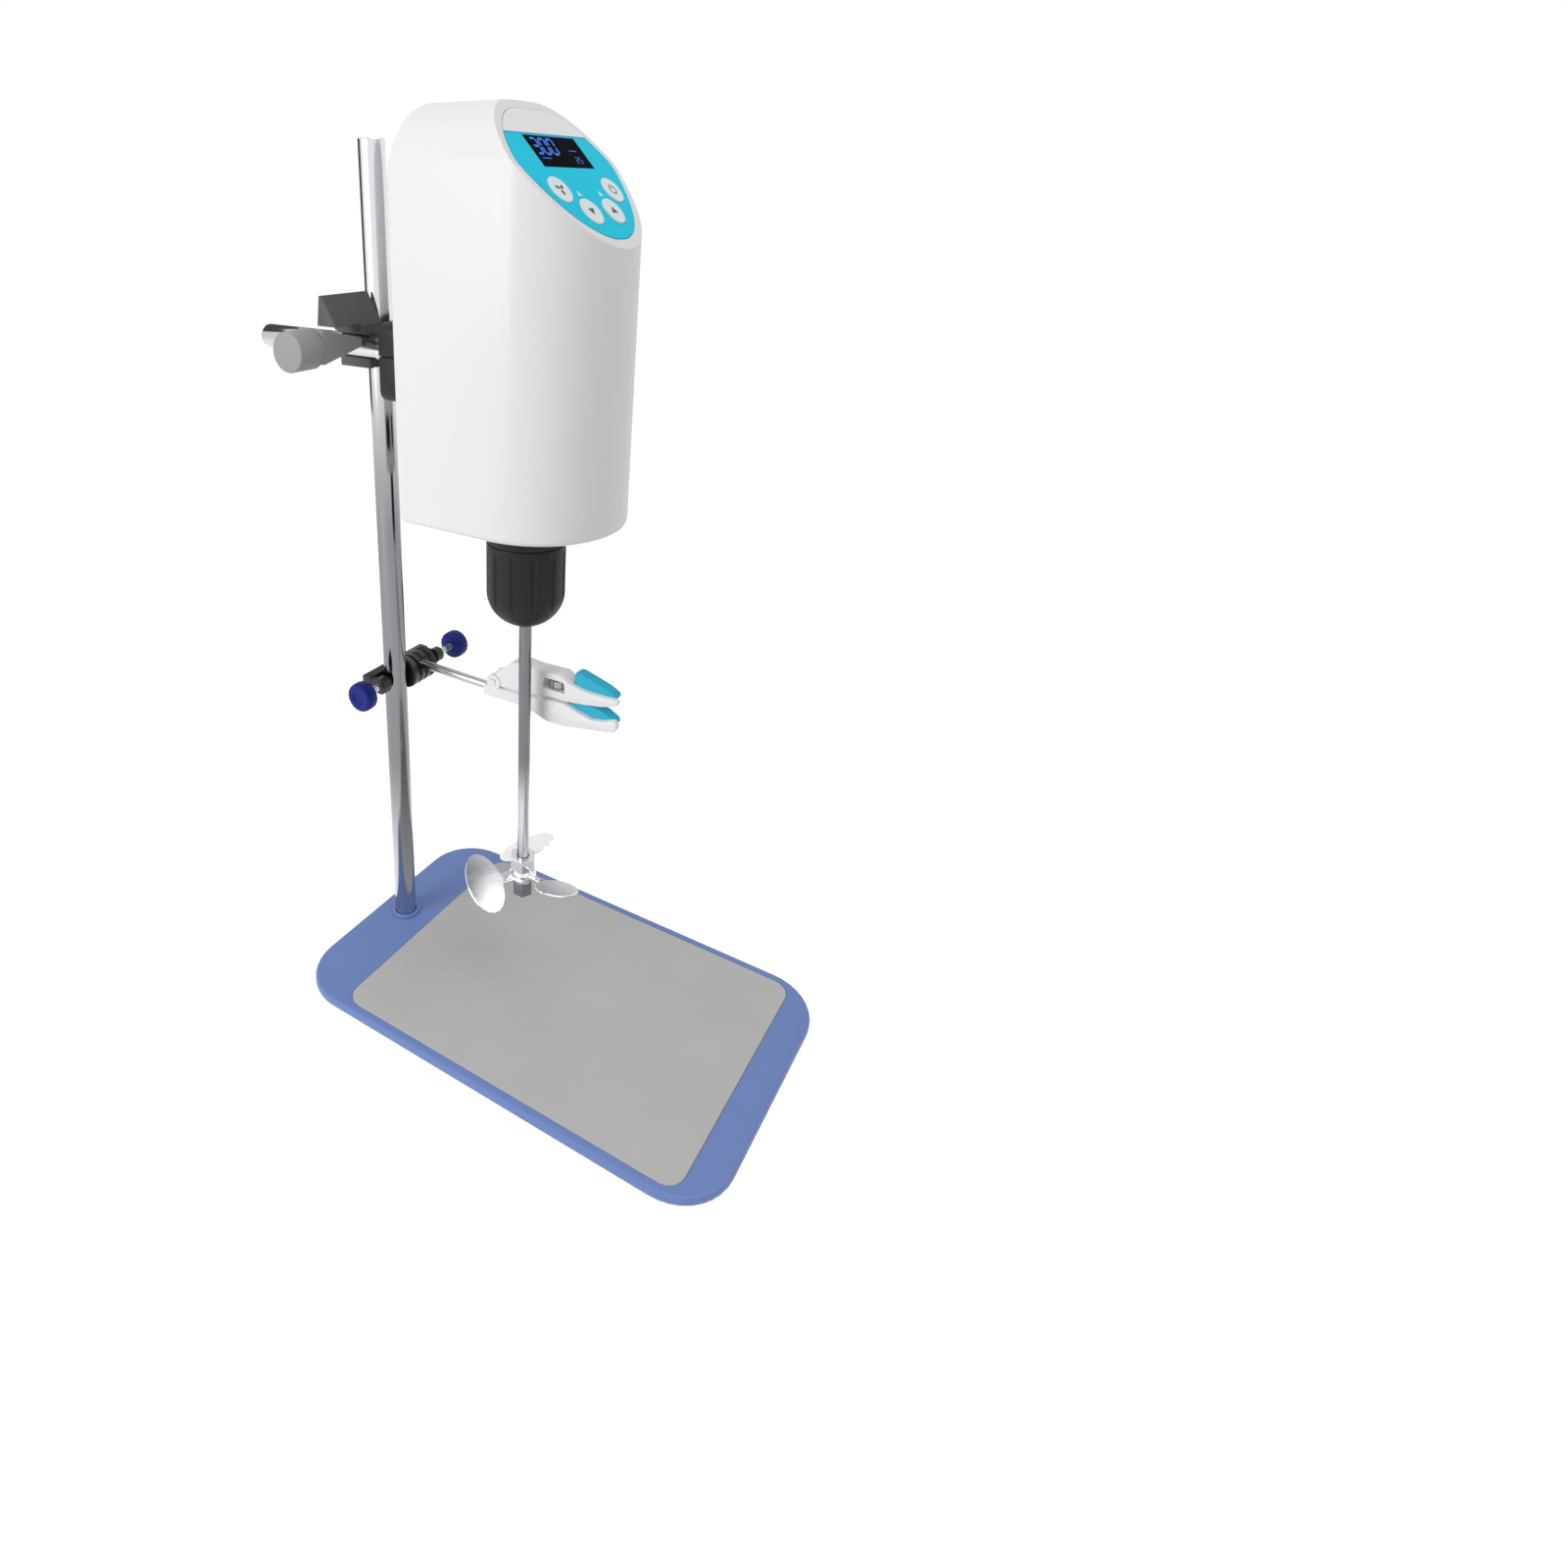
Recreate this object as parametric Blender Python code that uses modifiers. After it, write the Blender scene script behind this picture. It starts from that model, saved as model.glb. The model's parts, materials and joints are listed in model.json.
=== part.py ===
"""Overhead laboratory stirrer on a plate stand, with a beaker clamp.

The stand plate lies in XY and the column rises along +Z at its back (+Y) edge.
All named sizes are in millimetres and heights count from the underside of the plate.
The rubber feet lift that plane off the floor by FOOT_LIFT.
"""
import math

import bmesh
import bpy
from mathutils import Matrix, Vector

MM = 0.001
CLEAR = 0.3            # running and seating clearance between neighbouring pieces

# Stand plate, mat and feet
PLATE_WIDTH = 200.0
PLATE_LENGTH = 323.0
PLATE_THICK = 7.0
PLATE_CORNER = 37.0
PLATE_EDGE = 1.8       # rounding of the rim
MAT_WIDTH = 187.6
MAT_FRONT = 22.3       # plate front edge to mat
MAT_LENGTH = 255.8
MAT_CORNER = 12.0
MAT_THICK = 1.7
MAT_POCKET = 1.6       # depth of the pocket in the plate
FOOT_RADIUS = 9.0
FOOT_THICK = 2.0
FOOT_LIFT = 1.0
FOOT_INSET = 28.0      # foot centre in from both edges

# Column
COLUMN_RADIUS = 8.0
COLUMN_TOP = 563.0
COLUMN_INSET = 21.0    # column axis in from the back edge
COLLAR_RADIUS = 10.6
COLLAR_HEIGHT = 2.0
ANCHOR_RADIUS = 4.0    # screw that holds the column from below
ANCHOR_DEPTH = 20.0
ANCHOR_HEAD_RADIUS = 6.5
ANCHOR_HEAD = 3.4
ANCHOR_SINK = 4.0

# Motor head
AXIS_Y = 30.0          # stirring axis, in front of the column
HEAD_HALF = 53.0       # half width of the housing and radius of its round front
HEAD_ROUND_Y = 22.0    # centre of the round front
HEAD_BACK = 85.0
HEAD_BOTTOM = 354.0
HEAD_TOP = 578.0
HEAD_ARCH = 42.0       # rounding of the two upper long edges
HEAD_FILLET = 4.0      # rounding of the lower rim
HEAD_BACK_EDGE = 3.0
HEAD_WALL = 2.5
HEAD_RIM = 6.5         # width of the flange round the lower opening
HEAD_RIM_HEIGHT = 6.0
FLOOR_THICK = 3.0
FLOOR_SINK = 1.5       # floor plate above the lower rim

# Sloping control panel
PANEL_SLOPE = 46.5
PANEL_Y = 10.0         # a point on the panel plane
PANEL_Z = 551.0
PANEL_WALL = 3.0
PANEL_RIM = 4.0
PANEL_POCKET = 1.5
FASCIA_THICK = 1.4
DISPLAY_WIDTH = 48.8
DISPLAY_HEIGHT = 20.0
DISPLAY_UP = 3.2       # centre of the window along the slope
DISPLAY_THICK = 1.3
BUTTON_RADIUS = 8.2
BUTTON_THICK = 1.3
BUTTON_STEM = 5.0
BUTTON_STEM_LENGTH = 1.8
BUTTON_REST = 1.0      # cap above the pocket floor
OUTER_BUTTON = (26.1, -21.6)
INNER_BUTTON = (11.2, -35.5)
BOARD_THICK = 1.6
BOARD_INSET = 9.0

# Drive inside the head
CAN_RADIUS = 36.0
CAN_WALL = 3.0
CAN_HEIGHT = 84.0
BEARING_RADIUS = 16.0
BEARING_HEIGHT = 9.0
STATOR_INNER = 24.0
ROTOR_LENGTH = 48.0
SPINDLE_RADIUS = 8.5
SPINDLE_TOP = 452.0

# Chuck
CHUCK_RADIUS = 24.4
CHUCK_TOP_GAP = 0.6
CHUCK_SPLIT = 339.3    # joint between chuck body and turning sleeve
SLEEVE_SHOULDER = 306.4
SLEEVE_NOSE = 22.5     # height of the rounded nose before it is cut off
SLEEVE_MOUTH = 9.2
SLEEVE_LIP = 0.6
CORE_RADIUS = 16.0
CORE_SHOULDER = 298.0
CORE_TIP_RADIUS = 12.5
CORE_TIP = 289.5
JAW_BORE = 9.3
JAW_OUTER = 8.0
JAW_TOP = 311.7
JAW_SHOULDER = 312.0
JAW_SPAN = 104.0
SPINDLE_SEAT = 330.0
FLUTES = 12
FLUTE_RADIUS = 2.3
FLUTE_DEPTH = 1.1
FLUTE_TOP = 335.5
FLUTE_BOTTOM = 291.0

# Stirring shaft and propeller
SHAFT_RADIUS = 4.0
SHAFT_BOTTOM = 76.0
SHAFT_TOP = 405.0
HUB_LOW = 87.6
HUB_HIGH = 97.9
HUB_RADIUS = 6.6
FLANGE_RADIUS = 9.3
FLANGE_THICK = 2.4
UPPER_NUT = 10.0       # height
UPPER_NUT_RADIUS = 9.4
LOWER_NUT = 10.2
LOWER_NUT_RADIUS = 7.2
BLADE_COUNT = 3
BLADE_AZIMUTH = 28.0
BLADE_REACH = 28.6     # axis to blade centre
BLADE_LONG = 12.5      # half length along the arm
BLADE_WIDE = 22.0      # half width across it
BLADE_THICK = 1.5
BLADE_PITCH = 27.0
ARM_WIDTH = 7.0

# Rod mount, support rod and cross clamp
ROD_RADIUS = 7.0
ROD_X = -20.0
ROD_Z = 447.5
ROD_END = 218.0
MOUNT_HALF = 46.0
MOUNT_THICK = 16.0
MOUNT_UP = 18.7
MOUNT_DOWN = 25.5
MOUNT_CORNER = 6.0
BOSS_FRONT = 128.5
BOSS_BACK = 152.5
BOSS_TOP = 478.5
BOSS_LEFT = -50.0
BOSS_RIGHT = -11.0
BOSS_RIDGE_FRONT = 139.0   # front and back of the narrow top of the wedge
BOSS_RIDGE_BACK = 141.5
BOSS_SHOULDER = 461.0      # height at which the wedge is widest
BOSS_SHOULDER_BACK = 144.0
BOSS_RING = 12.8       # sleeve round the column
BOSS_RING_LOW = 439.0
BOSS_RING_HIGH = 456.0
SEAT_LIP = 5.2         # metal under the rod
SCREW_Z = 450.0        # axis of the rod clamping screw
SCREW_RADIUS = 3.0
GRIP_RADIUS = 11.5
GRIP_LENGTH = 18.3
GRIP_INNER = -59.7     # face of the grip next to the clamp arm
GRIP_SOCKET = 8.0      # how far the screw reaches into its grip
ARM_BASE = 10.0        # half size of the tapered arm at the grip
ARM_BASE_Z = 451.3
ARM_TIP = 2.6
ARM_TIP_X = -28.2
ARM_TIP_Y = 132.0
LOCK_Z = 447.5         # axis of the column clamping screw
LOCK_GRIP_X = 24.0
LOCK_LUG = 7.0
LOCK_LUG_END = 17.0

# Power inlet and switch on the back of the head
INLET_X = -19.0
INLET_WIDTH = 28.0
INLET_HEIGHT = 20.0
INLET_Z = 385.0
INLET_DEPTH = 13.0
INLET_FLANGE = 2.5
INLET_WALL = 2.2
SWITCH_X = 20.0
SWITCH_WIDTH = 14.0
SWITCH_HEIGHT = 21.0
SWITCH_DEPTH = 11.0
SWITCH_WALL = 1.6
ROCKER_LEAN = 1.6      # how far the pressed end lies behind the raised one

# Lower boss head
HOLD_Z = 213.0
HOLD_RADIUS = 11.5
HOLD_RIGHT = 34.0      # end of the barrel beside the column
HOLD_RIBS = 3
HOLD_RIB_GROOVE = 1.2
HOOK_OUT = -17.0
HOOK_IN = -11.0
HOOK_RADIUS = 6.0
EAR_X = 42.5
EAR_THICK = 6.0
EAR_RADIUS = 5.6
BRIDGE_BACK = 157.0
BRIDGE_HALF = 3.8      # half height of the bridge behind the column
BRIDGE_GAP = 9.5       # column axis to the bridge
HOLD_SCREW = 2.5
KNOB_RADIUS = 10.3
KNOB_THICK = 9.0
KNOB_LOBES = 8
LEFT_KNOB = -29.5      # inner face of each knob
RIGHT_KNOB = 64.0

# Beaker clamp
CLAMP_X = 19.5
CLAMP_Z = 218.8
CLAMP_ROD_RADIUS = 3.0
CLAMP_HALF = 6.5
CLAMP_REAR = 73.5
CLAMP_ROD_FRONT = 50.0
FINGER_THICK = 4.0
CLAMP_PIVOT = (64.5, 226.6)
CLAMP_EAR = 5.6
CLAMP_TONGUE = 3.0     # half thickness of the hinge tongue
PIN_RADIUS = 2.0
PAD_SIDE = 4.0         # pad starts this far from the finger's flank
SETTER_Y = 16.0
SETTER_RADIUS = 2.4
SETTER_WHEEL = 6.3
SETTER_LOW = 236.3
SETTER_HIGH = 241.7


def clear_scene():
    for old in list(bpy.data.objects):
        bpy.data.objects.remove(old, do_unlink=True)


def linear(value):
    value /= 255.0
    return value / 12.92 if value <= 0.04045 else ((value + 0.055) / 1.055) ** 2.4


def make_material(name, colour, roughness, metallic=0.0):
    material = bpy.data.materials.new(name)
    material.use_nodes = True
    shader = material.node_tree.nodes["Principled BSDF"]
    shader.inputs["Base Color"].default_value = [linear(c) for c in colour] + [1.0]
    shader.inputs["Roughness"].default_value = roughness
    shader.inputs["Metallic"].default_value = metallic
    return material


clear_scene()
parts = bpy.data.collections.new("overhead_stirrer")
cutters = bpy.data.collections.new("cutters")
bpy.context.scene.collection.children.link(parts)
bpy.context.scene.collection.children.link(cutters)

BLUE_PAINT = make_material("blue_paint", (107, 128, 178), 0.45)
GREY_MAT = make_material("grey_mat", (174, 174, 174), 0.7)
RUBBER = make_material("black_rubber", (30, 30, 32), 0.85)
STEEL = make_material("polished_steel", (190, 192, 195), 0.22, 1.0)
WHITE_SHELL = make_material("white_shell", (244, 244, 244), 0.35)
TEAL_FILM = make_material("teal_film", (45, 190, 220), 0.4)
DARK_GLASS = make_material("dark_glass", (22, 26, 34), 0.12)
WHITE_KEY = make_material("white_key", (240, 246, 248), 0.4)
BOARD_GREEN = make_material("board_green", (40, 92, 60), 0.6)
BLACK_PLASTIC = make_material("black_plastic", (40, 40, 42), 0.45)
DARK_CASTING = make_material("dark_casting", (88, 88, 90), 0.5)
GREY_CASTING = make_material("grey_casting", (160, 160, 160), 0.45)
BLUE_KNOB = make_material("blue_knob", (30, 50, 130), 0.4)
TEAL_RUBBER = make_material("teal_rubber", (60, 180, 212), 0.6)
COPPER = make_material("copper_winding", (170, 100, 60), 0.4, 1.0)

STAND = {}


def empty(name, parent, place, turn=(0.0, 0.0, 0.0)):
    """A joint or a carrier, placed in the stand's own coordinates."""
    carrier = bpy.data.objects.new(name, None)
    carrier.empty_display_size = 0.02
    parts.objects.link(carrier)
    base = Vector((0.0, 0.0, 0.0))
    if parent is not None:
        carrier.parent = parent
        base = STAND[parent.name]
    carrier.location = (Vector(place) - base) * MM
    carrier.rotation_euler = turn
    STAND[carrier.name] = Vector(place)
    return carrier


def settle(piece, parent, place):
    piece.parent = parent
    piece.location = (Vector(place) - STAND[parent.name]) * MM
    return piece


def from_bmesh(name, shape, material, smooth=True):
    mesh = bpy.data.meshes.new(name)
    shape.to_mesh(mesh)
    shape.free()
    piece = bpy.data.objects.new(name, mesh)
    parts.objects.link(piece)
    if material is not None:
        mesh.materials.append(material)
    if smooth:
        mesh.shade_smooth()
        mesh.set_sharp_from_angle(angle=math.radians(35))
    return piece


# Turns a shape drawn in XY with its depth along Z into the named plane
TURN = {
    "XY": Matrix.Identity(4),
    "XZ": Matrix.Rotation(math.radians(90), 4, "X"),
    "YZ": Matrix(((0, 0, 1, 0), (1, 0, 0, 0), (0, 1, 0, 0), (0, 0, 0, 1))),
}
ALONG = {"Z": TURN["XY"], "Y": Matrix.Rotation(math.radians(-90), 4, "X"), "X": TURN["YZ"]}


def drum(name, radius, start, end, axis, centre, material, parent, sides=32, tip=None):
    """A cylinder, or a cone with a tip radius, from start to end along one axis."""
    shape = bmesh.new()
    bmesh.ops.create_cone(shape, cap_ends=True, segments=sides, radius1=radius * MM,
                          radius2=(radius if tip is None else tip) * MM, depth=(end - start) * MM)
    bmesh.ops.transform(shape, matrix=ALONG[axis], verts=shape.verts)
    piece = from_bmesh(name, shape, material)
    middle = (start + end) / 2
    a, b = centre
    place = {"X": (middle, a, b), "Y": (a, middle, b), "Z": (a, b, middle)}[axis]
    return settle(piece, parent, place)


def block(name, low, high, material, parent):
    shape = bmesh.new()
    bmesh.ops.create_cube(shape, size=1.0)
    size = [(h - l) * MM for l, h in zip(low, high)]
    bmesh.ops.scale(shape, vec=size, verts=shape.verts)
    piece = from_bmesh(name, shape, material, smooth=False)
    return settle(piece, parent, [(l + h) / 2 for l, h in zip(low, high)])


def turned(name, profile, material, parent, place, axis="Z", steps=48, ring=False):
    """Revolve (radius, height) points that run down the outer side."""
    mesh = bpy.data.meshes.new(name)
    points = [(radius * MM, 0.0, height * MM) for radius, height in profile]
    edges = [(i, i + 1) for i in range(len(points) - 1)]
    if ring:
        edges.append((len(points) - 1, 0))
    mesh.from_pydata(points, edges, [])
    mesh.materials.append(material)
    piece = bpy.data.objects.new(name, mesh)
    parts.objects.link(piece)
    screw = piece.modifiers.new("turn", "SCREW")
    screw.angle = 2 * math.pi
    screw.steps = steps
    screw.render_steps = steps
    screw.use_merge_vertices = True
    screw.merge_threshold = 0.00001
    screw.use_smooth_shade = True
    piece.rotation_euler = ALONG[axis].to_euler()
    return settle(piece, parent, place)


def prism(name, outline, start, end, plane, material, parent, smooth=True):
    """A flat outline in one plane, as thick as from start to end across it."""
    centre = [sum(c) / len(outline) for c in zip(*outline)]
    curve = bpy.data.curves.new(name, "CURVE")
    curve.dimensions = "2D"
    curve.fill_mode = "BOTH"
    curve.extrude = (end - start) / 2 * MM
    line = curve.splines.new("POLY")
    line.points.add(len(outline) - 1)
    for point, (a, b) in zip(line.points, outline):
        point.co = ((a - centre[0]) * MM, (b - centre[1]) * MM, 0.0, 1.0)
    line.use_cyclic_u = True
    drawn = bpy.data.objects.new(name + "_outline", curve)
    parts.objects.link(drawn)
    mesh = bpy.data.meshes.new_from_object(drawn.evaluated_get(bpy.context.evaluated_depsgraph_get()))
    bpy.data.objects.remove(drawn)
    shape = bmesh.new()
    shape.from_mesh(mesh)
    bpy.data.meshes.remove(mesh)
    bmesh.ops.remove_doubles(shape, verts=shape.verts, dist=0.000001)
    bmesh.ops.dissolve_limit(shape, angle_limit=0.001, verts=shape.verts, edges=shape.edges)
    bmesh.ops.transform(shape, matrix=TURN[plane], verts=shape.verts)
    bmesh.ops.recalc_face_normals(shape, faces=shape.faces)
    piece = from_bmesh(name, shape, material, smooth)
    middle = (start + end) / 2
    a, b = centre
    place = {"XY": (a, b, middle), "XZ": (a, middle, b), "YZ": (middle, a, b)}[plane]
    return settle(piece, parent, place)


def soften(piece, width, segments=2, angle=50):
    bevel = piece.modifiers.new("soft_edge", "BEVEL")
    bevel.width = width * MM
    bevel.segments = segments
    bevel.limit_method = "ANGLE"
    bevel.angle_limit = math.radians(angle)
    bevel.use_clamp_overlap = True
    return piece


def combine(piece, tool, operation):
    boolean = piece.modifiers.new(operation.lower(), "BOOLEAN")
    boolean.operation = operation
    boolean.solver = "EXACT"
    boolean.object = tool
    tool.hide_render = True
    tool.display_type = "WIRE"
    if tool.name in parts.objects:
        parts.objects.unlink(tool)
        cutters.objects.link(tool)
    return piece


def cut(piece, tool):
    return combine(piece, tool, "DIFFERENCE")


def join(piece, tool):
    return combine(piece, tool, "UNION")


def keep(piece, tool):
    return combine(piece, tool, "INTERSECT")


def arc(centre, radius, first, last, count):
    """Points on an arc, in degrees, both ends included."""
    step = (last - first) / count
    angles = [math.radians(first + step * i) for i in range(count + 1)]
    return [(centre[0] + radius * math.cos(a), centre[1] + radius * math.sin(a)) for a in angles]


def rounded(corners, count=8):
    """An outline from (x, y, radius) corners, each rounded by its own radius."""
    outline = []
    total = len(corners)
    for i, (x, y, radius) in enumerate(corners):
        corner = Vector((x, y))
        before = Vector(corners[i - 1][:2]) - corner
        after = Vector(corners[(i + 1) % total][:2]) - corner
        if radius <= 0:
            outline.append((x, y))
            continue
        half = before.angle(after) / 2
        reach = radius / math.tan(half)
        start = corner + before.normalized() * reach
        end = corner + after.normalized() * reach
        centre = corner + (before.normalized() + after.normalized()).normalized() * radius / math.sin(half)
        first = math.atan2(start.y - centre.y, start.x - centre.x)
        sweep = math.atan2(end.y - centre.y, end.x - centre.x) - first
        sweep = (sweep + math.pi) % (2 * math.pi) - math.pi
        for k in range(count + 1):
            angle = first + sweep * k / count
            outline.append((centre.x + radius * math.cos(angle), centre.y + radius * math.sin(angle)))
    return outline


def rectangle(x0, y0, x1, y1, radius, count=8):
    return rounded([(x0, y0, radius), (x1, y0, radius), (x1, y1, radius), (x0, y1, radius)], count)


# Carriers: one per moving body, each on its joint
root = empty("stirrer", None, (0, 0, 0))
root.location.z = FOOT_LIFT * MM
column_y = PLATE_LENGTH / 2 - COLUMN_INSET
boss = empty("cross_clamp_height", root, (0, column_y, ROD_Z))
rod_screw = empty("rod_screw_turn", boss, (GRIP_INNER, column_y, SCREW_Z))
lock_screw = empty("lock_screw_turn", boss, (LOCK_GRIP_X, column_y, LOCK_Z))
head = empty("head_reach", boss, (ROD_X, column_y, ROD_Z))
panel = empty("panel", head, (0, PANEL_Y, PANEL_Z), (math.radians(PANEL_SLOPE), 0, 0))
spindle_turn = empty("spindle_turn", head, (0, AXIS_Y, HEAD_BOTTOM))
sleeve_turn = empty("sleeve_turn", spindle_turn, (0, AXIS_Y, CHUCK_SPLIT))
shaft_slide = empty("shaft_reach", spindle_turn, (0, AXIS_Y, SHAFT_BOTTOM))
hold = empty("boss_head_height", root, (0, column_y, HOLD_Z))
left_turn = empty("left_knob_turn", hold, (LEFT_KNOB, column_y, HOLD_Z))
right_turn = empty("right_knob_turn", hold, (RIGHT_KNOB, column_y, HOLD_Z))
clamp_roll = empty("clamp_roll", hold, (CLAMP_X, CLAMP_REAR, CLAMP_Z))
jaw_hinge = empty("jaw_hinge", clamp_roll, (CLAMP_X, CLAMP_PIVOT[0], CLAMP_PIVOT[1]))
setter_turn = empty("setter_turn", jaw_hinge, (CLAMP_X, SETTER_Y, SETTER_LOW))


def on_panel(piece, across, up, out):
    """Places a piece on the sloping panel, in the panel's own axes."""
    piece.parent = panel
    piece.location = Vector((across, up, out)) * MM
    return piece


# Stand: plate, mat, feet, column
def build_plate():
    half_w = PLATE_WIDTH / 2
    half_l = PLATE_LENGTH / 2
    outline = rectangle(-half_w, -half_l, half_w, half_l, PLATE_CORNER, 9)
    plate = prism("base_plate", outline, 0, PLATE_THICK, "XY", BLUE_PAINT, root)
    soften(plate, PLATE_EDGE, 2)
    front = -half_l + MAT_FRONT
    back = front + MAT_LENGTH
    pocket = rectangle(-MAT_WIDTH / 2 - CLEAR, front - CLEAR, MAT_WIDTH / 2 + CLEAR, back + CLEAR,
                       MAT_CORNER + CLEAR, 6)
    cut(plate, prism("mat_pocket", pocket, PLATE_THICK - MAT_POCKET, PLATE_THICK + 3, "XY", None, root))
    mat = prism("work_mat", rectangle(-MAT_WIDTH / 2, front, MAT_WIDTH / 2, back, MAT_CORNER, 6),
                PLATE_THICK - MAT_POCKET + CLEAR, PLATE_THICK - MAT_POCKET + CLEAR + MAT_THICK,
                "XY", GREY_MAT, root)
    soften(mat, 0.4, 1)
    for side, x in (("left", -half_w + FOOT_INSET), ("right", half_w - FOOT_INSET)):
        for end, y in (("front", -half_l + FOOT_INSET), ("back", half_l - FOOT_INSET)):
            top = FOOT_THICK - FOOT_LIFT
            drum(f"foot_{end}_{side}", FOOT_RADIUS, -FOOT_LIFT, top, "Z", (x, y), RUBBER, root, 24)
            cut(plate, drum(f"foot_seat_{end}_{side}", FOOT_RADIUS + CLEAR, -5, top + CLEAR, "Z",
                            (x, y), None, root, 24))
    centre = (0, column_y)
    cut(plate, drum("anchor_hole", ANCHOR_RADIUS + CLEAR, -5, PLATE_THICK + 5, "Z", centre, None, root, 24))
    cut(plate, drum("anchor_sink", ANCHOR_HEAD_RADIUS + CLEAR, -5, ANCHOR_SINK, "Z", centre, None, root, 24))
    return plate


def build_column():
    base = PLATE_THICK + CLEAR
    chamfer = 0.8
    bore = ANCHOR_RADIUS + CLEAR
    profile = [(0, COLUMN_TOP), (COLUMN_RADIUS - chamfer, COLUMN_TOP), (COLUMN_RADIUS, COLUMN_TOP - chamfer),
               (COLUMN_RADIUS, base), (bore, base), (bore, base + ANCHOR_DEPTH), (0, base + ANCHOR_DEPTH)]
    turned("column", profile, STEEL, root, (0, column_y, 0), steps=28)
    collar = [(COLLAR_RADIUS - 0.5, base + COLLAR_HEIGHT), (COLLAR_RADIUS, base + COLLAR_HEIGHT - 0.5),
              (COLLAR_RADIUS, base), (COLUMN_RADIUS + CLEAR, base), (COLUMN_RADIUS + CLEAR, base + COLLAR_HEIGHT)]
    turned("column_collar", collar, BLUE_PAINT, root, (0, column_y, 0), steps=24, ring=True)
    top = base + ANCHOR_DEPTH - CLEAR
    head_low = ANCHOR_SINK - CLEAR - ANCHOR_HEAD
    anchor = turned("column_screw", [(0, top), (ANCHOR_RADIUS, top), (ANCHOR_RADIUS, head_low + ANCHOR_HEAD),
                                     (ANCHOR_HEAD_RADIUS, head_low + ANCHOR_HEAD),
                                     (ANCHOR_HEAD_RADIUS, head_low), (0, head_low)],
                    STEEL, root, (0, column_y, 0), steps=20)
    cut(anchor, drum("anchor_key", 2.9, head_low - 3, head_low + 2.0, "Z", (0, column_y), None, root, 6))


# Motor head housing
def d_outline(inset, flare=0.0, back=None):
    """Plan of the head: round front, straight sides, flat back."""
    half = HEAD_HALF - inset
    rear = (HEAD_BACK - inset) if back is None else back
    front = arc((0, HEAD_ROUND_Y), half, 180, 360, 28)
    return front + [(half + flare, rear), (-half - flare, rear)]


def bevel_rim(piece, axis, side, width, segments):
    """Rounds the edges that lie in one end plane of a prism."""
    shape = bmesh.new()
    shape.from_mesh(piece.data)
    level = side * max(side * v.co[axis] for v in shape.verts)
    rim = [e for e in shape.edges if all(abs(v.co[axis] - level) < 0.000001 for v in e.verts)]
    bmesh.ops.bevel(shape, geom=rim, offset=width * MM, segments=segments, profile=0.5, affect="EDGES")
    shape.to_mesh(piece.data)
    shape.free()
    return piece


def head_form(name, inset, bottom, fillet, sink, material):
    """The head's solid, or its hollow when inset: an arch section, the D plan and the panel slope."""
    half = HEAD_HALF - inset
    top = HEAD_TOP - inset
    foot = max(fillet, 0.01)
    section = rounded([(-half, bottom, foot), (half, bottom, foot), (half, top, HEAD_ARCH - inset),
                       (-half, top, HEAD_ARCH - inset)], 10)
    front = HEAD_ROUND_Y - HEAD_HALF - 20
    form = prism(name, section, front, HEAD_BACK - inset, "XZ", material, head)
    if fillet:
        bevel_rim(form, 1, 1, HEAD_BACK_EDGE, 3)
    plan = prism(name + "_plan", d_outline(inset, 0.6, HEAD_BACK + 20), bottom, top + 20, "XY", None, head)
    if fillet:
        bevel_rim(plan, 2, -1, fillet, 4)
    keep(form, plan)
    slope = block(name + "_slope", (-150, -150, 0), (150, 150, 200), None, root)
    on_panel(slope, 0, 0, 100 - sink)
    return cut(form, slope)


def panel_outline(inset, count=26):
    """Where the inset head form meets the panel plane, in the panel's axes."""
    slope = math.radians(PANEL_SLOPE)
    half = HEAD_HALF - inset
    first = HEAD_ROUND_Y - half
    last = PANEL_Y + (HEAD_TOP - inset - PANEL_Z) / math.tan(slope)
    right = []
    for i in range(count + 1):
        y = first + (last - first) * (1 - math.cos(math.pi * i / count)) / 2
        z = PANEL_Z + (y - PANEL_Y) * math.tan(slope)
        plan = half if y > HEAD_ROUND_Y else math.sqrt(max(half ** 2 - (y - HEAD_ROUND_Y) ** 2, 0))
        drop = max(HEAD_ARCH - (HEAD_TOP - z), 0)
        round_top = HEAD_ARCH - inset
        section = HEAD_HALF - HEAD_ARCH + math.sqrt(max(round_top ** 2 - drop ** 2, 0))
        right.append((min(plan, section) if drop else plan, (y - PANEL_Y) / math.cos(slope)))
    right = [p for p in right if p[0] > 0.5]
    return right + [(-x, s) for x, s in reversed(right)]


def panel_prism(name, outline, low, high, material):
    piece = prism(name, outline, low, high, "XY", material, root)
    centre = [sum(c) / len(outline) for c in zip(*outline)]
    return on_panel(piece, centre[0], centre[1], (low + high) / 2)


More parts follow.
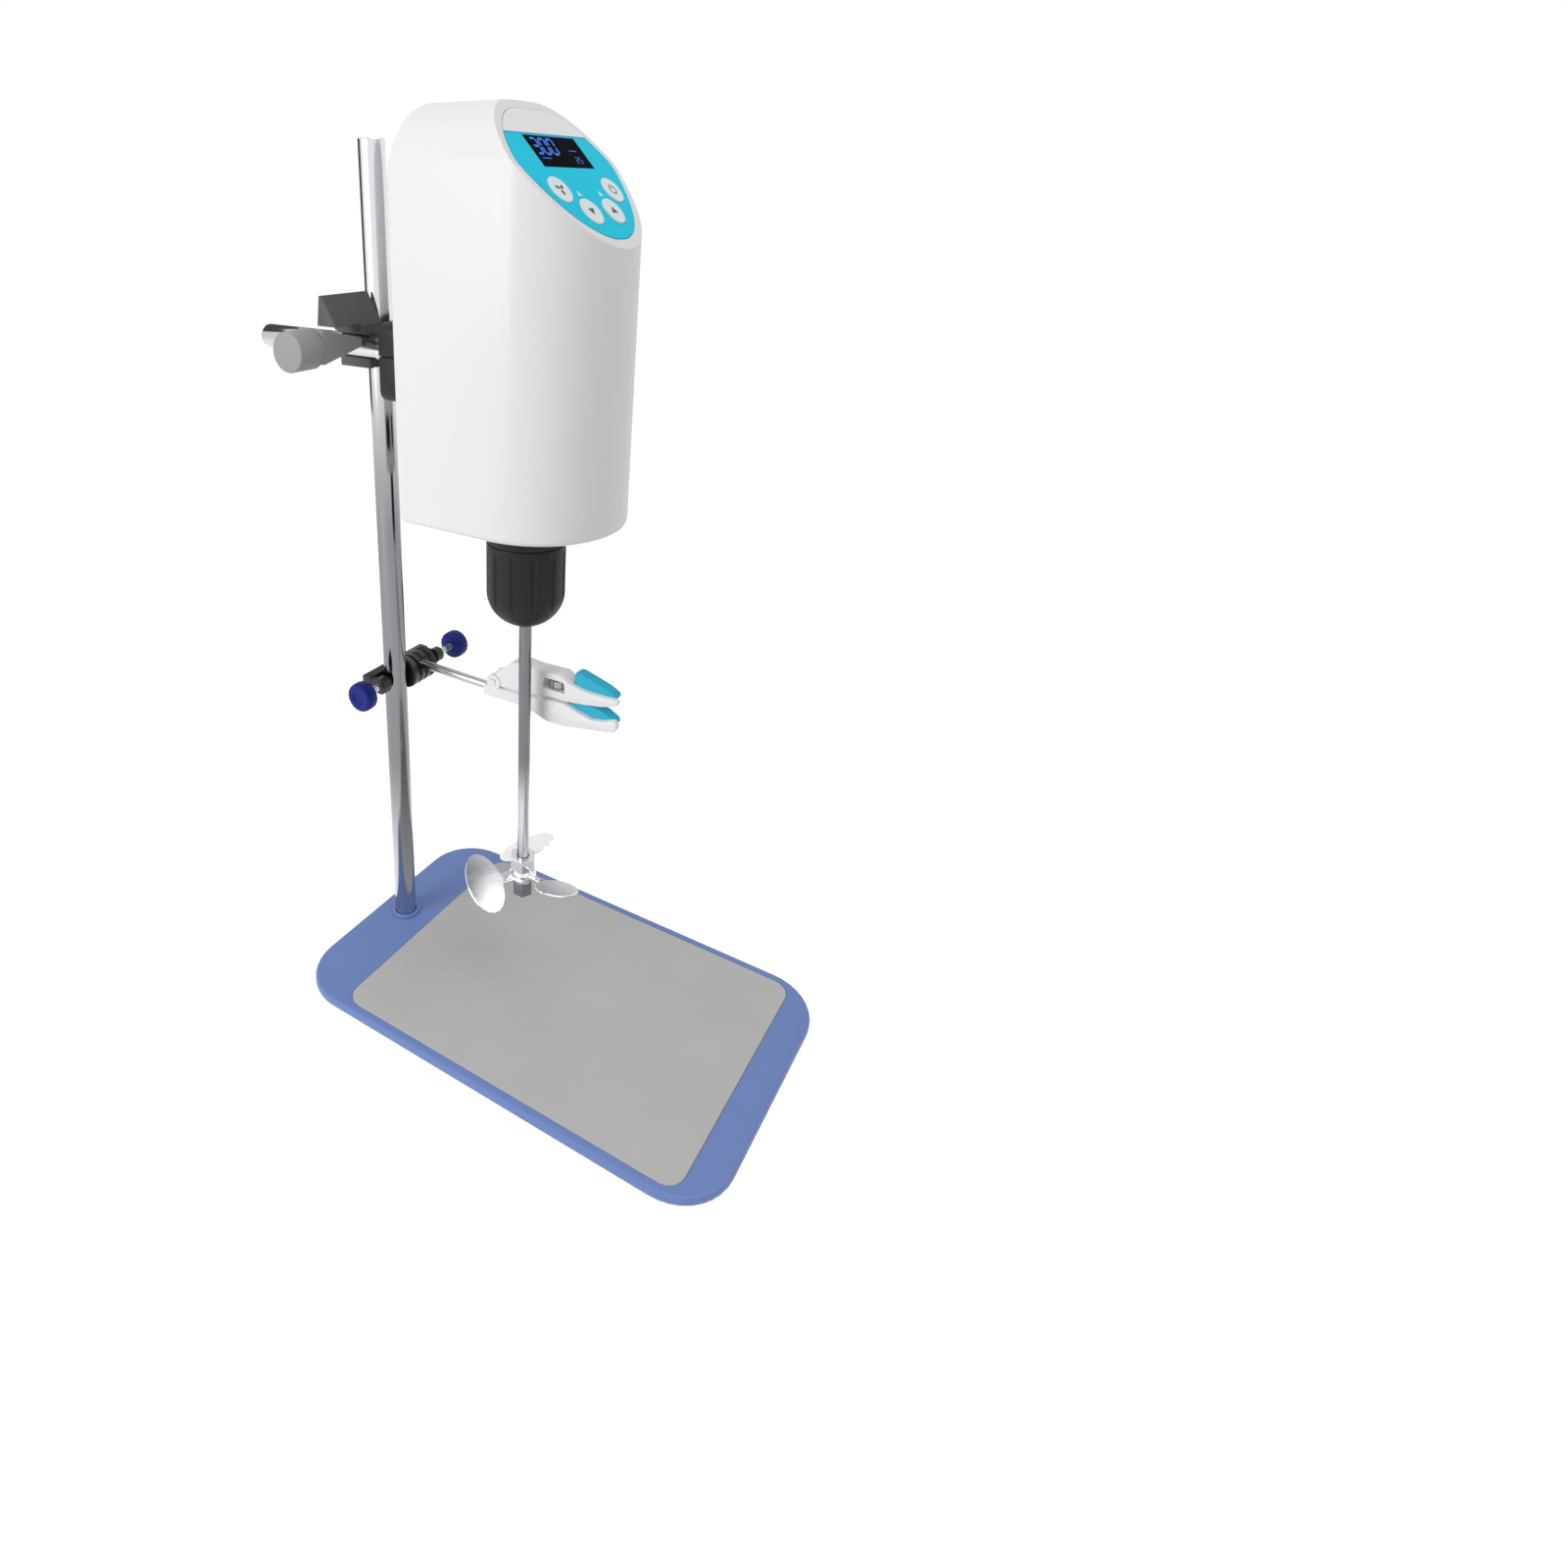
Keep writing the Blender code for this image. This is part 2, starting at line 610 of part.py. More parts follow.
def build_housing():
    shell = head_form("housing_shell", 0, HEAD_BOTTOM, HEAD_FILLET, 0, WHITE_SHELL)
    hollow = head_form("housing_hollow", HEAD_WALL, HEAD_BOTTOM + HEAD_RIM_HEIGHT, 0, PANEL_WALL, None)
    cut(shell, hollow)
    mouth = rounded([(x, y, 3 if y > HEAD_BACK - 20 else 0) for x, y in d_outline(HEAD_RIM)], 4)
    cut(shell, prism("housing_mouth", mouth, HEAD_BOTTOM - 10, HEAD_BOTTOM + HEAD_RIM_HEIGHT + 1, "XY",
                     None, head))
    cut(shell, panel_prism("fascia_pocket", panel_outline(PANEL_RIM), -PANEL_POCKET, 10, None))
    for name, across, up in button_places():
        stem = drum(name + "_shell_hole", BUTTON_STEM + CLEAR, -10, 10, "Z", (0, 0), None, root, 22)
        cut(shell, on_panel(stem, across, up, 0))
    back = HEAD_BACK
    half_w = INLET_WIDTH / 2 + CLEAR
    half_h = INLET_HEIGHT / 2 + CLEAR
    cut(shell, block("inlet_hole", (INLET_X - half_w, back - 8, INLET_Z - half_h),
                     (INLET_X + half_w, back + 8, INLET_Z + half_h), None, head))
    half_w = SWITCH_WIDTH / 2 + CLEAR
    half_h = SWITCH_HEIGHT / 2 + CLEAR
    cut(shell, block("switch_hole", (SWITCH_X - half_w, back - 8, INLET_Z - half_h),
                     (SWITCH_X + half_w, back + 8, INLET_Z + half_h), None, head))

    low = HEAD_BOTTOM + FLOOR_SINK
    plan = rounded([(x, y, 2.7 if y > HEAD_BACK - 20 else 0) for x, y in d_outline(HEAD_RIM + CLEAR)], 4)
    floor = prism("housing_floor", plan, low, low + FLOOR_THICK, "XY", BLACK_PLASTIC, head)
    cut(floor, drum("floor_hole", SPINDLE_RADIUS + 2, low - 5, low + FLOOR_THICK + 5, "Z", (0, AXIS_Y),
                    None, head))


def button_places():
    outer, inner = OUTER_BUTTON, INNER_BUTTON
    return [("button_left", -outer[0], outer[1]), ("button_lower_left", -inner[0], inner[1]),
            ("button_lower_right", inner[0], inner[1]), ("button_right", outer[0], outer[1])]


def build_panel():
    floor = -PANEL_POCKET
    low = floor + CLEAR
    fascia = panel_prism("panel_fascia", panel_outline(PANEL_RIM + CLEAR), low, low + FASCIA_THICK, TEAL_FILM)
    half_w = DISPLAY_WIDTH / 2
    half_h = DISPLAY_HEIGHT / 2
    opening = rectangle(-half_w - CLEAR, DISPLAY_UP - half_h - CLEAR, half_w + CLEAR,
                        DISPLAY_UP + half_h + CLEAR, 0, 1)
    cut(fascia, panel_prism("display_hole", opening, floor - 5, 5, None))
    panel_prism("display_window", rectangle(-half_w, DISPLAY_UP - half_h, half_w, DISPLAY_UP + half_h, 0, 1),
                low, low + DISPLAY_THICK, DARK_GLASS)
    for name, across, up in button_places():
        hole = drum(name + "_hole", BUTTON_RADIUS + CLEAR, -5, 5, "Z", (0, 0), None, root, 22)
        cut(fascia, on_panel(hole, across, up, 0))
        base = floor + BUTTON_REST
        edge = 0.4
        profile = [(0, base + BUTTON_THICK), (BUTTON_RADIUS - edge, base + BUTTON_THICK),
                   (BUTTON_RADIUS, base + BUTTON_THICK - edge), (BUTTON_RADIUS, base), (BUTTON_STEM, base),
                   (BUTTON_STEM, base - BUTTON_STEM_LENGTH), (0, base - BUTTON_STEM_LENGTH)]
        key = turned(name, profile, WHITE_KEY, root, (0, 0, 0), steps=22)
        on_panel(key, across, up, 0)
    top = -PANEL_WALL - CLEAR
    panel_prism("control_board", panel_outline(BOARD_INSET, 14), top - BOARD_THICK, top, BOARD_GREEN)


def build_drive():
    low = HEAD_BOTTOM + FLOOR_SINK + FLOOR_THICK + CLEAR
    high = low + CAN_HEIGHT
    seat = BEARING_RADIUS + CLEAR
    inner = CAN_RADIUS - CAN_WALL
    here = (0, AXIS_Y, 0)
    turned("motor_can", [(CAN_RADIUS - 1, high), (CAN_RADIUS, high - 1), (CAN_RADIUS, low), (seat, low),
                         (seat, low + BEARING_HEIGHT), (inner, low + BEARING_HEIGHT),
                         (inner, high - BEARING_HEIGHT), (seat, high - BEARING_HEIGHT), (seat, high)],
           DARK_CASTING, head, here, steps=24, ring=True)
    middle = (low + high) / 2
    reach = ROTOR_LENGTH / 2 + 2
    turned("motor_windings", [(inner - CLEAR, middle + reach), (inner - CLEAR, middle - reach),
                              (STATOR_INNER, middle - reach), (STATOR_INNER, middle + reach)],
           COPPER, head, here, steps=24, ring=True)
    for name, base in (("bearing_lower", low), ("bearing_upper", high - BEARING_HEIGHT)):
        ring = [(BEARING_RADIUS, base + BEARING_HEIGHT - CLEAR), (BEARING_RADIUS, base + CLEAR),
                (SPINDLE_RADIUS + CLEAR, base + CLEAR), (SPINDLE_RADIUS + CLEAR, base + BEARING_HEIGHT - CLEAR)]
        turned(name, ring, STEEL, head, here, steps=24, ring=True)
    reach = ROTOR_LENGTH / 2
    turned("rotor", [(STATOR_INNER - CLEAR, middle + reach), (STATOR_INNER - CLEAR, middle - reach),
                     (SPINDLE_RADIUS + CLEAR, middle - reach), (SPINDLE_RADIUS + CLEAR, middle + reach)],
           DARK_CASTING, spindle_turn, here, steps=24, ring=True)
    turned("spindle", [(SPINDLE_RADIUS, SPINDLE_TOP), (SPINDLE_RADIUS, SPINDLE_SEAT),
                       (SHAFT_RADIUS + CLEAR, SPINDLE_SEAT), (SHAFT_RADIUS + CLEAR, SPINDLE_TOP)],
           STEEL, spindle_turn, here, steps=24, ring=True)


def nose_radius(height):
    """Radius of the rounded chuck nose at a height."""
    drop = (SLEEVE_SHOULDER - height) / SLEEVE_NOSE
    return CHUCK_RADIUS * math.sqrt(max(1 - drop ** 2, 0))


def build_chuck():
    here = (0, AXIS_Y, 0)
    top = HEAD_BOTTOM - CHUCK_TOP_GAP
    low = CHUCK_SPLIT + CLEAR / 2
    bore = SHAFT_RADIUS + CLEAR
    turned("chuck_body", [(CHUCK_RADIUS - 1, top), (CHUCK_RADIUS, top - 1), (CHUCK_RADIUS, low + 0.5),
                          (CHUCK_RADIUS - 0.5, low), (CORE_RADIUS, low), (CORE_RADIUS, CORE_SHOULDER),
                          (CORE_TIP_RADIUS, CORE_TIP), (JAW_BORE, CORE_TIP), (JAW_BORE, JAW_SHOULDER),
                          (bore, JAW_SHOULDER), (bore, SPINDLE_SEAT - CLEAR),
                          (SPINDLE_RADIUS + CLEAR, SPINDLE_SEAT - CLEAR), (SPINDLE_RADIUS + CLEAR, top)],
           BLACK_PLASTIC, spindle_turn, here, steps=30, ring=True)
    high = CHUCK_SPLIT - CLEAR / 2
    mouth = SLEEVE_MOUTH + SLEEVE_LIP
    bottom = SLEEVE_SHOULDER - SLEEVE_NOSE * math.sqrt(1 - (mouth / CHUCK_RADIUS) ** 2)
    count = 6
    nose = [SLEEVE_SHOULDER - (SLEEVE_SHOULDER - bottom) * math.sin(math.pi / 2 * i / count)
            for i in range(count + 1)]
    profile = [(CHUCK_RADIUS - 0.5, high), (CHUCK_RADIUS, high - 0.5)]
    profile += [(nose_radius(z), z) for z in nose]
    profile += [(SLEEVE_MOUTH, bottom), (SLEEVE_MOUTH, CORE_TIP - CLEAR),
                (CORE_TIP_RADIUS + CLEAR, CORE_TIP - CLEAR), (CORE_RADIUS + CLEAR, CORE_SHOULDER - CLEAR),
                (CORE_RADIUS + CLEAR, high)]
    sleeve = turned("chuck_sleeve", profile, BLACK_PLASTIC, sleeve_turn, here, steps=30, ring=True)
    flutes = bmesh.new()
    for i in range(FLUTES):
        angle = 2 * math.pi * (i + 0.5) / FLUTES
        away = (CHUCK_RADIUS + FLUTE_RADIUS - FLUTE_DEPTH) * MM
        spot = Matrix.Translation((away * math.cos(angle), away * math.sin(angle), 0))
        bmesh.ops.create_cone(flutes, cap_ends=True, segments=8, radius1=FLUTE_RADIUS * MM,
                              radius2=FLUTE_RADIUS * MM, depth=(FLUTE_TOP - FLUTE_BOTTOM) * MM, matrix=spot)
    tool = from_bmesh("flute_cutter", flutes, None)
    settle(tool, sleeve_turn, (0, AXIS_Y, (FLUTE_TOP + FLUTE_BOTTOM) / 2))
    cut(sleeve, tool)
    jaw_low = bottom + CLEAR
    for i in range(3):
        middle = 90 + 120 * i
        outline = arc((0, 0), JAW_OUTER, middle - JAW_SPAN / 2, middle + JAW_SPAN / 2, 12)
        outline += arc((0, 0), bore, middle + JAW_SPAN / 2, middle - JAW_SPAN / 2, 10)
        shifted = [(x, y + AXIS_Y) for x, y in outline]
        prism(f"chuck_jaw_{i + 1}", shifted, jaw_low, JAW_TOP, "XY", STEEL, spindle_turn)


def build_stirrer():
    here = (0, AXIS_Y, 0)
    axis = (0, AXIS_Y)
    chamfer = 0.6
    bore = SHAFT_RADIUS + CLEAR
    turned("stirring_shaft", [(0, SHAFT_TOP), (SHAFT_RADIUS - chamfer, SHAFT_TOP),
                              (SHAFT_RADIUS, SHAFT_TOP - chamfer), (SHAFT_RADIUS, SHAFT_BOTTOM + chamfer),
                              (SHAFT_RADIUS - chamfer, SHAFT_BOTTOM), (0, SHAFT_BOTTOM)],
           STEEL, shaft_slide, here, steps=24)
    for name, radius, low, high in (("upper_nut", UPPER_NUT_RADIUS, HUB_HIGH + CLEAR,
                                     HUB_HIGH + CLEAR + UPPER_NUT),
                                    ("lower_nut", LOWER_NUT_RADIUS, HUB_LOW - CLEAR - LOWER_NUT,
                                     HUB_LOW - CLEAR)):
        nut = drum(name, radius, low, high, "Z", axis, STEEL, shaft_slide, 6)
        cut(nut, drum(name + "_bore", bore, low - 5, high + 5, "Z", axis, None, shaft_slide, 20))
    middle = (HUB_LOW + HUB_HIGH) / 2
    flange = FLANGE_THICK / 2
    propeller = turned("propeller", [(HUB_RADIUS, HUB_HIGH), (HUB_RADIUS, middle + flange),
                                     (FLANGE_RADIUS, middle + flange), (FLANGE_RADIUS, middle - flange),
                                     (HUB_RADIUS, middle - flange), (HUB_RADIUS, HUB_LOW), (bore, HUB_LOW),
                                     (bore, HUB_HIGH)], STEEL, shaft_slide, here, steps=24, ring=True)
    for i in range(BLADE_COUNT):
        azimuth = math.radians(BLADE_AZIMUTH + 360 / BLADE_COUNT * i)
        reach = BLADE_REACH - math.sqrt(max(BLADE_LONG ** 2 - (BLADE_LONG * ARM_WIDTH / 2 / BLADE_WIDE) ** 2, 0))
        start = bore + 0.8
        half = math.degrees(math.asin(ARM_WIDTH / 2 / BLADE_WIDE))
        oval = [(BLADE_REACH - BLADE_LONG * math.cos(math.radians(a)), -BLADE_WIDE * math.sin(math.radians(a)))
                for a in [half + (360 - 2 * half) * k / 20 for k in range(21)]]
        outline = [(start, ARM_WIDTH / 2), (start, -ARM_WIDTH / 2), (reach, -ARM_WIDTH / 2)] + oval[1:-1]
        outline += [(reach, ARM_WIDTH / 2)]
        blade = prism(f"blade_{i + 1}", outline, -BLADE_THICK / 2, BLADE_THICK / 2, "XY", None, shaft_slide)
        centre = [sum(c) / len(outline) for c in zip(*outline)]
        turn = Matrix.Rotation(azimuth, 4, "Z") @ Matrix.Rotation(math.radians(-BLADE_PITCH), 4, "X")
        blade.data.transform(Matrix.Translation((centre[0] * MM, centre[1] * MM, 0)))
        blade.data.transform(turn)
        settle(blade, shaft_slide, (0, AXIS_Y, middle))
        soften(blade, 0.4, 1, 60)
        join(propeller, blade)


# Rod mount, support rod and cross clamp
def build_support():
    y0 = HEAD_BACK + CLEAR
    y1 = y0 + MOUNT_THICK
    split = CLEAR / 2
    high = ROD_Z + MOUNT_UP
    low = ROD_Z - MOUNT_DOWN
    c = MOUNT_CORNER
    upper = prism("mount_upper", rounded([(-MOUNT_HALF, ROD_Z + split, 0), (MOUNT_HALF, ROD_Z + split, 0),
                                          (MOUNT_HALF, high, c), (-MOUNT_HALF, high, c)], 4),
                  y0, y1, "XZ", BLACK_PLASTIC, head)
    lower = prism("mount_lower", rounded([(-MOUNT_HALF, low, c), (MOUNT_HALF, low, c),
                                          (MOUNT_HALF, ROD_Z - split, 0), (-MOUNT_HALF, ROD_Z - split, 0)], 4),
                  y0, y1, "XZ", BLACK_PLASTIC, head)
    for half in (upper, lower):
        soften(half, 0.8, 2)
        cut(half, drum(half.name + "_groove", ROD_RADIUS + CLEAR, y0 - 5, y1 + 5, "Y", (ROD_X, ROD_Z),
                       None, head, 28))
    length = (y0, ROD_END)
    chamfer = 1.0
    turned("support_rod", [(0, length[1]), (ROD_RADIUS - chamfer, length[1]),
                           (ROD_RADIUS, length[1] - chamfer), (ROD_RADIUS, length[0]), (0, length[0])],
           STEEL, head, (ROD_X, 0, ROD_Z), axis="Y", steps=28)


def build_cross_clamp():
    bore = ROD_RADIUS + CLEAR
    block_low = ARM_BASE_Z + ARM_BASE + CLEAR
    seat = arc((ROD_X, ROD_Z), bore, -118, 112, 16)
    left_lip = seat[0][0]
    lip_low = ROD_Z - bore - SEAT_LIP
    outline = [(BOSS_LEFT, BOSS_TOP), (BOSS_LEFT, block_low), (ROD_X - bore - 2.0, block_low),
               (ROD_X - bore, ROD_Z + bore + 2.0)]
    outline += seat[::-1]
    outline += [(left_lip, lip_low), (-4.5, lip_low), (-1, BOSS_RING_LOW + 3), (-1, BOSS_RING_HIGH - 3),
                (BOSS_RIGHT, BOSS_RING_HIGH + 1), (BOSS_RIGHT, BOSS_TOP)]
    body = prism("cross_clamp_body", outline, BOSS_FRONT, BOSS_BACK, "XZ", DARK_CASTING, boss)
    over = BOSS_TOP + 10
    ends = (BOSS_LEFT - 5, 5)
    cut(body, prism("wedge_front", [(BOSS_FRONT - 5, BOSS_SHOULDER), (BOSS_FRONT, BOSS_SHOULDER),
                                    (BOSS_RIDGE_FRONT, BOSS_TOP), (BOSS_RIDGE_FRONT, over),
                                    (BOSS_FRONT - 5, over)], *ends, "YZ", None, boss))
    cut(body, prism("wedge_back", [(BOSS_BACK + 5, BOSS_SHOULDER), (BOSS_SHOULDER_BACK, BOSS_SHOULDER),
                                   (BOSS_RIDGE_BACK, BOSS_TOP), (BOSS_RIDGE_BACK, over),
                                   (BOSS_BACK + 5, over)], *ends, "YZ", None, boss))
    soften(body, 0.6, 1, 35)
    join(body, drum("clamp_ring", BOSS_RING, BOSS_RING_LOW, BOSS_RING_HIGH, "Z", (0, column_y), None, boss, 28))
    join(body, drum("lock_lug", LOCK_LUG, 6, LOCK_LUG_END, "X", (column_y, LOCK_Z), None, boss, 20))
    cut(body, drum("column_bore", COLUMN_RADIUS + CLEAR, BOSS_RING_LOW - 10, over, "Z",
                   (0, column_y), None, boss, 28))
    cut(body, drum("lock_bore", SCREW_RADIUS + CLEAR, 2, LOCK_LUG_END + 8, "X", (column_y, LOCK_Z), None, boss, 20))

    arm_start = GRIP_INNER + CLEAR
    shape = bmesh.new()
    corners = ((-1, -1), (1, -1), (1, 1), (-1, 1))
    wide = [shape.verts.new(Vector((arm_start, column_y + ARM_BASE * a, ARM_BASE_Z + ARM_BASE * b)) * MM)
            for a, b in corners]
    narrow = [shape.verts.new(Vector((ARM_TIP_X, ARM_TIP_Y + ARM_TIP * a, ARM_BASE_Z + ARM_TIP * b)) * MM)
              for a, b in corners]
    shape.faces.new(wide[::-1])
    shape.faces.new(narrow)
    for k in range(4):
        n = (k + 1) % 4
        shape.faces.new((wide[k], wide[n], narrow[n], narrow[k]))
    bmesh.ops.recalc_face_normals(shape, faces=shape.faces)
    arm = from_bmesh("cross_clamp_arm", shape, GREY_CASTING, smooth=False)
    settle(arm, boss, (0, 0, 0))
    soften(arm, 0.6, 1, 30)
    cut(arm, drum("arm_bore", SCREW_RADIUS + CLEAR, arm_start - 5, ARM_TIP_X + 5, "X", (column_y, SCREW_Z),
                  None, boss, 20))

    touch = ROD_X - math.sqrt(ROD_RADIUS ** 2 - (SCREW_Z - ROD_Z) ** 2)
    screws = (("rod", rod_screw, GRIP_INNER - GRIP_LENGTH, GRIP_INNER, touch - 0.8 - CLEAR, SCREW_Z),
              ("lock", lock_screw, LOCK_GRIP_X + GRIP_LENGTH, LOCK_GRIP_X, COLUMN_RADIUS + CLEAR, LOCK_Z))
    for name, carrier, outer, inner, tip, z in screws:
        way = 1 if outer < inner else -1
        edge = 1.2
        sunk = inner - way * GRIP_SOCKET
        profile = [(0, outer), (GRIP_RADIUS - edge, outer), (GRIP_RADIUS, outer + way * edge),
                   (GRIP_RADIUS, inner), (SCREW_RADIUS + CLEAR, inner), (SCREW_RADIUS + CLEAR, sunk - way * CLEAR),
                   (0, sunk - way * CLEAR)]
        pin = [(0, sunk), (SCREW_RADIUS, sunk), (SCREW_RADIUS, tip - way * 0.6), (SCREW_RADIUS - 0.6, tip),
               (0, tip)]
        if way > 0:
            profile.reverse()
            pin.reverse()
        turned(f"{name}_grip", profile, GREY_CASTING, carrier, (0, column_y, z), axis="X", steps=28)
        turned(f"{name}_screw", pin, STEEL, carrier, (0, column_y, z), axis="X", steps=16)


def build_back_panel():
    """Mains inlet and rocker switch in the back wall."""
    back = HEAD_BACK
    half_w = INLET_WIDTH / 2
    half_h = INLET_HEIGHT / 2
    inlet = block("power_inlet", (INLET_X - half_w, back - INLET_DEPTH, INLET_Z - half_h),
                  (INLET_X + half_w, back + 1, INLET_Z + half_h), BLACK_PLASTIC, head)
    edge = INLET_FLANGE
    join(inlet, block("inlet_flange", (INLET_X - half_w - edge, back + CLEAR, INLET_Z - half_h - edge),
                      (INLET_X + half_w + edge, back + CLEAR + 1.6, INLET_Z + half_h + edge), None, head))
    w = INLET_WALL
    well = rounded([(INLET_X - half_w + w, INLET_Z - half_h + w, 1), (INLET_X + half_w - w, INLET_Z - half_h + w, 1),
                    (INLET_X + half_w - w, INLET_Z + half_h - w, 5), (INLET_X - half_w + w, INLET_Z + half_h - w, 5)], 3)
    cut(inlet, prism("inlet_well", well, back - INLET_DEPTH + 2, back + 10, "XZ", None, head))
    for name, x, z in (("a", -6.5, -2.2), ("b", 0, 2.4), ("c", 6.5, -2.2)):
        join(inlet, block("inlet_pin_" + name, (INLET_X + x - 1, back - INLET_DEPTH + 1, INLET_Z + z - 2.2),
                          (INLET_X + x + 1, back - 1.5, INLET_Z + z + 2.2), None, head))

    half_w = SWITCH_WIDTH / 2
    half_h = SWITCH_HEIGHT / 2
    frame = block("switch_frame", (SWITCH_X - half_w, back - SWITCH_DEPTH, INLET_Z - half_h),
                  (SWITCH_X + half_w, back + 1, INLET_Z + half_h), BLACK_PLASTIC, head)
    join(frame, block("switch_flange", (SWITCH_X - half_w - 1.5, back + CLEAR, INLET_Z - half_h - 1.5),
                      (SWITCH_X + half_w + 1.5, back + CLEAR + 1.4, INLET_Z + half_h + 1.5), None, head))
    w = SWITCH_WALL
    cut(frame, block("switch_well", (SWITCH_X - half_w + w, back - SWITCH_DEPTH + 2, INLET_Z - half_h + w),
                     (SWITCH_X + half_w - w, back + 10, INLET_Z + half_h - w), None, head))
    rock = empty("rocker_tilt", head, (SWITCH_X, back - 3, INLET_Z))
    reach = half_h - w - 0.6
    front = back + 3.4
    outline = [(back - 6.6, INLET_Z - reach * 0.45), (back - 6.6, INLET_Z + reach * 0.45),
               (back - 2.6, INLET_Z + reach), (front - ROCKER_LEAN, INLET_Z + reach),
               (front - ROCKER_LEAN * 0.9, INLET_Z), (front - ROCKER_LEAN, INLET_Z - reach),
               (back - 2.6, INLET_Z - reach)]
    rocker = prism("switch_rocker", outline, SWITCH_X - half_w + w + CLEAR, SWITCH_X + half_w - w - CLEAR, "YZ",
                   BLACK_PLASTIC, rock, smooth=False)
    soften(rocker, 0.4, 1, 50)


# Lower boss head on the column
def build_boss_head():
    axis = (column_y, HOLD_Z)
    left_end = COLUMN_RADIUS + CLEAR
    spacing = (HOLD_RIGHT - left_end) / (HOLD_RIBS + 1)
    waist = HOLD_RADIUS - HOLD_RIB_GROOVE
    profile = [(0, HOLD_RIGHT), (HOLD_RADIUS - 1, HOLD_RIGHT), (HOLD_RADIUS, HOLD_RIGHT - 1)]
    for i in range(HOLD_RIBS, 0, -1):
        x = left_end + spacing * i
        profile += [(HOLD_RADIUS, x + 1), (waist, x + 0.7), (waist, x - 0.7), (HOLD_RADIUS, x - 1)]
    profile += [(HOLD_RADIUS, left_end + 1), (HOLD_RADIUS - 1, left_end), (0, left_end)]
    body = turned("boss_head_body", profile, BLACK_PLASTIC, hold, (0, column_y, HOLD_Z), axis="X", steps=20)
    join(body, block("hook_bridge", (HOOK_OUT + 1, column_y + BRIDGE_GAP, HOLD_Z - BRIDGE_HALF),
                     (EAR_X + EAR_THICK - 1, BRIDGE_BACK, HOLD_Z + BRIDGE_HALF), None, hold))
    join(body, block("hook_arm", (HOOK_OUT + 1.4, column_y - 0.5, HOLD_Z - BRIDGE_HALF + 0.4),
                     (HOOK_IN - 1.2, BRIDGE_BACK - 2, HOLD_Z + BRIDGE_HALF - 0.4), None, hold))
    join(body, block("ear_arm", (EAR_X + 1.1, column_y - 0.5, HOLD_Z - BRIDGE_HALF + 0.7),
                     (EAR_X + EAR_THICK - 1.6, BRIDGE_BACK - 2, HOLD_Z + BRIDGE_HALF - 0.7), None, hold))
    join(body, drum("hook_end", HOOK_RADIUS, HOOK_OUT, HOOK_IN, "X", axis, None, hold, 14))
    join(body, drum("ear_end", EAR_RADIUS, EAR_X, EAR_X + EAR_THICK, "X", axis, None, hold, 14))
    cut(body, drum("hold_screw_bore", HOLD_SCREW + CLEAR, HOOK_OUT - 5, HOOK_IN + 5, "X", axis, None, hold, 14))
    cut(body, drum("ear_screw_bore", HOLD_SCREW + CLEAR, CLAMP_X, EAR_X + EAR_THICK + 5, "X", axis, None,
                   hold, 14))
    cut(body, drum("clamp_rod_bore", CLAMP_ROD_RADIUS + CLEAR, column_y - 30, column_y + 7, "Y",
                   (CLAMP_X, CLAMP_Z), None, hold, 20))

    press = CLAMP_X + math.sqrt(max(CLAMP_ROD_RADIUS ** 2 - (CLAMP_Z - HOLD_Z) ** 2, 0)) + HOLD_SCREW
    for name, carrier, inner, tip in (("left", left_turn, LEFT_KNOB, -COLUMN_RADIUS - CLEAR),
                                      ("right", right_turn, RIGHT_KNOB, press + CLEAR)):
        way = 1 if tip > inner else -1
        outer = inner - way * KNOB_THICK
        lobes = []
        for k in range(KNOB_LOBES * 4):
            angle = 2 * math.pi * k / (KNOB_LOBES * 4)
            radius = KNOB_RADIUS - 0.55 + 0.55 * math.cos(KNOB_LOBES * angle)
            lobes.append((column_y + radius * math.cos(angle), HOLD_Z + radius * math.sin(angle)))
        knob = prism(f"{name}_knob", lobes, min(inner, outer), max(inner, outer), "YZ", BLUE_KNOB, carrier)
        soften(knob, 1.0, 1, 60)
        sunk = inner - way * 5.0
        ends = (min(inner + way * 1, sunk - way * CLEAR), max(inner + way * 1, sunk - way * CLEAR))
        cut(knob, drum(f"{name}_knob_bore", HOLD_SCREW + CLEAR, ends[0], ends[1], "X", axis, None, carrier, 18))
        drum(f"{name}_screw", HOLD_SCREW, min(sunk, tip), max(sunk, tip), "X", axis, STEEL, carrier, 18)


# Beaker clamp
def body_outline():
    """Lower half of the clamp, seen along X: bar, lower finger."""
    return [(CLAMP_REAR, 221.0), (CLAMP_REAR - 1.5, 214.9), (44.5, 215.2), (36.0, 214.6), (28.8, 212.6),
            (21.0, 210.1), (8.0, 210.6), (-4.0, 213.1), (-17.0, 215.4), (-28.5, 218.1), (-30.3, 220.6),
            (-30.4, 223.6), (-28.1, 226.3), (-20.5, 223.4), (-11.7, 221.8), (-2.0, 224.2), (8.8, 227.2),
            (20.0, 226.6), (29.0, 224.6), (44.6, 223.6), (CLAMP_REAR - 3.0, 222.6)]


def jaw_outline():
    """Upper jaw, seen along X: lever, arm and finger."""
    return [(70.0, 224.2), (44.6, 225.2), (30.0, 227.2), (21.4, 228.9), (8.0, 229.2), (-7.4, 231.3),
            (-19.0, 233.6), (-29.1, 236.7), (-30.6, 238.8), (-30.0, 241.0), (-21.0, 240.4), (-11.0, 240.3),
            (-3.0, 240.9), (5.2, 242.8), (11.1, 246.9), (31.1, 245.9), (44.7, 246.7), (49.9, 245.4),
            (61.4, 234.8), (68.0, 229.3)]


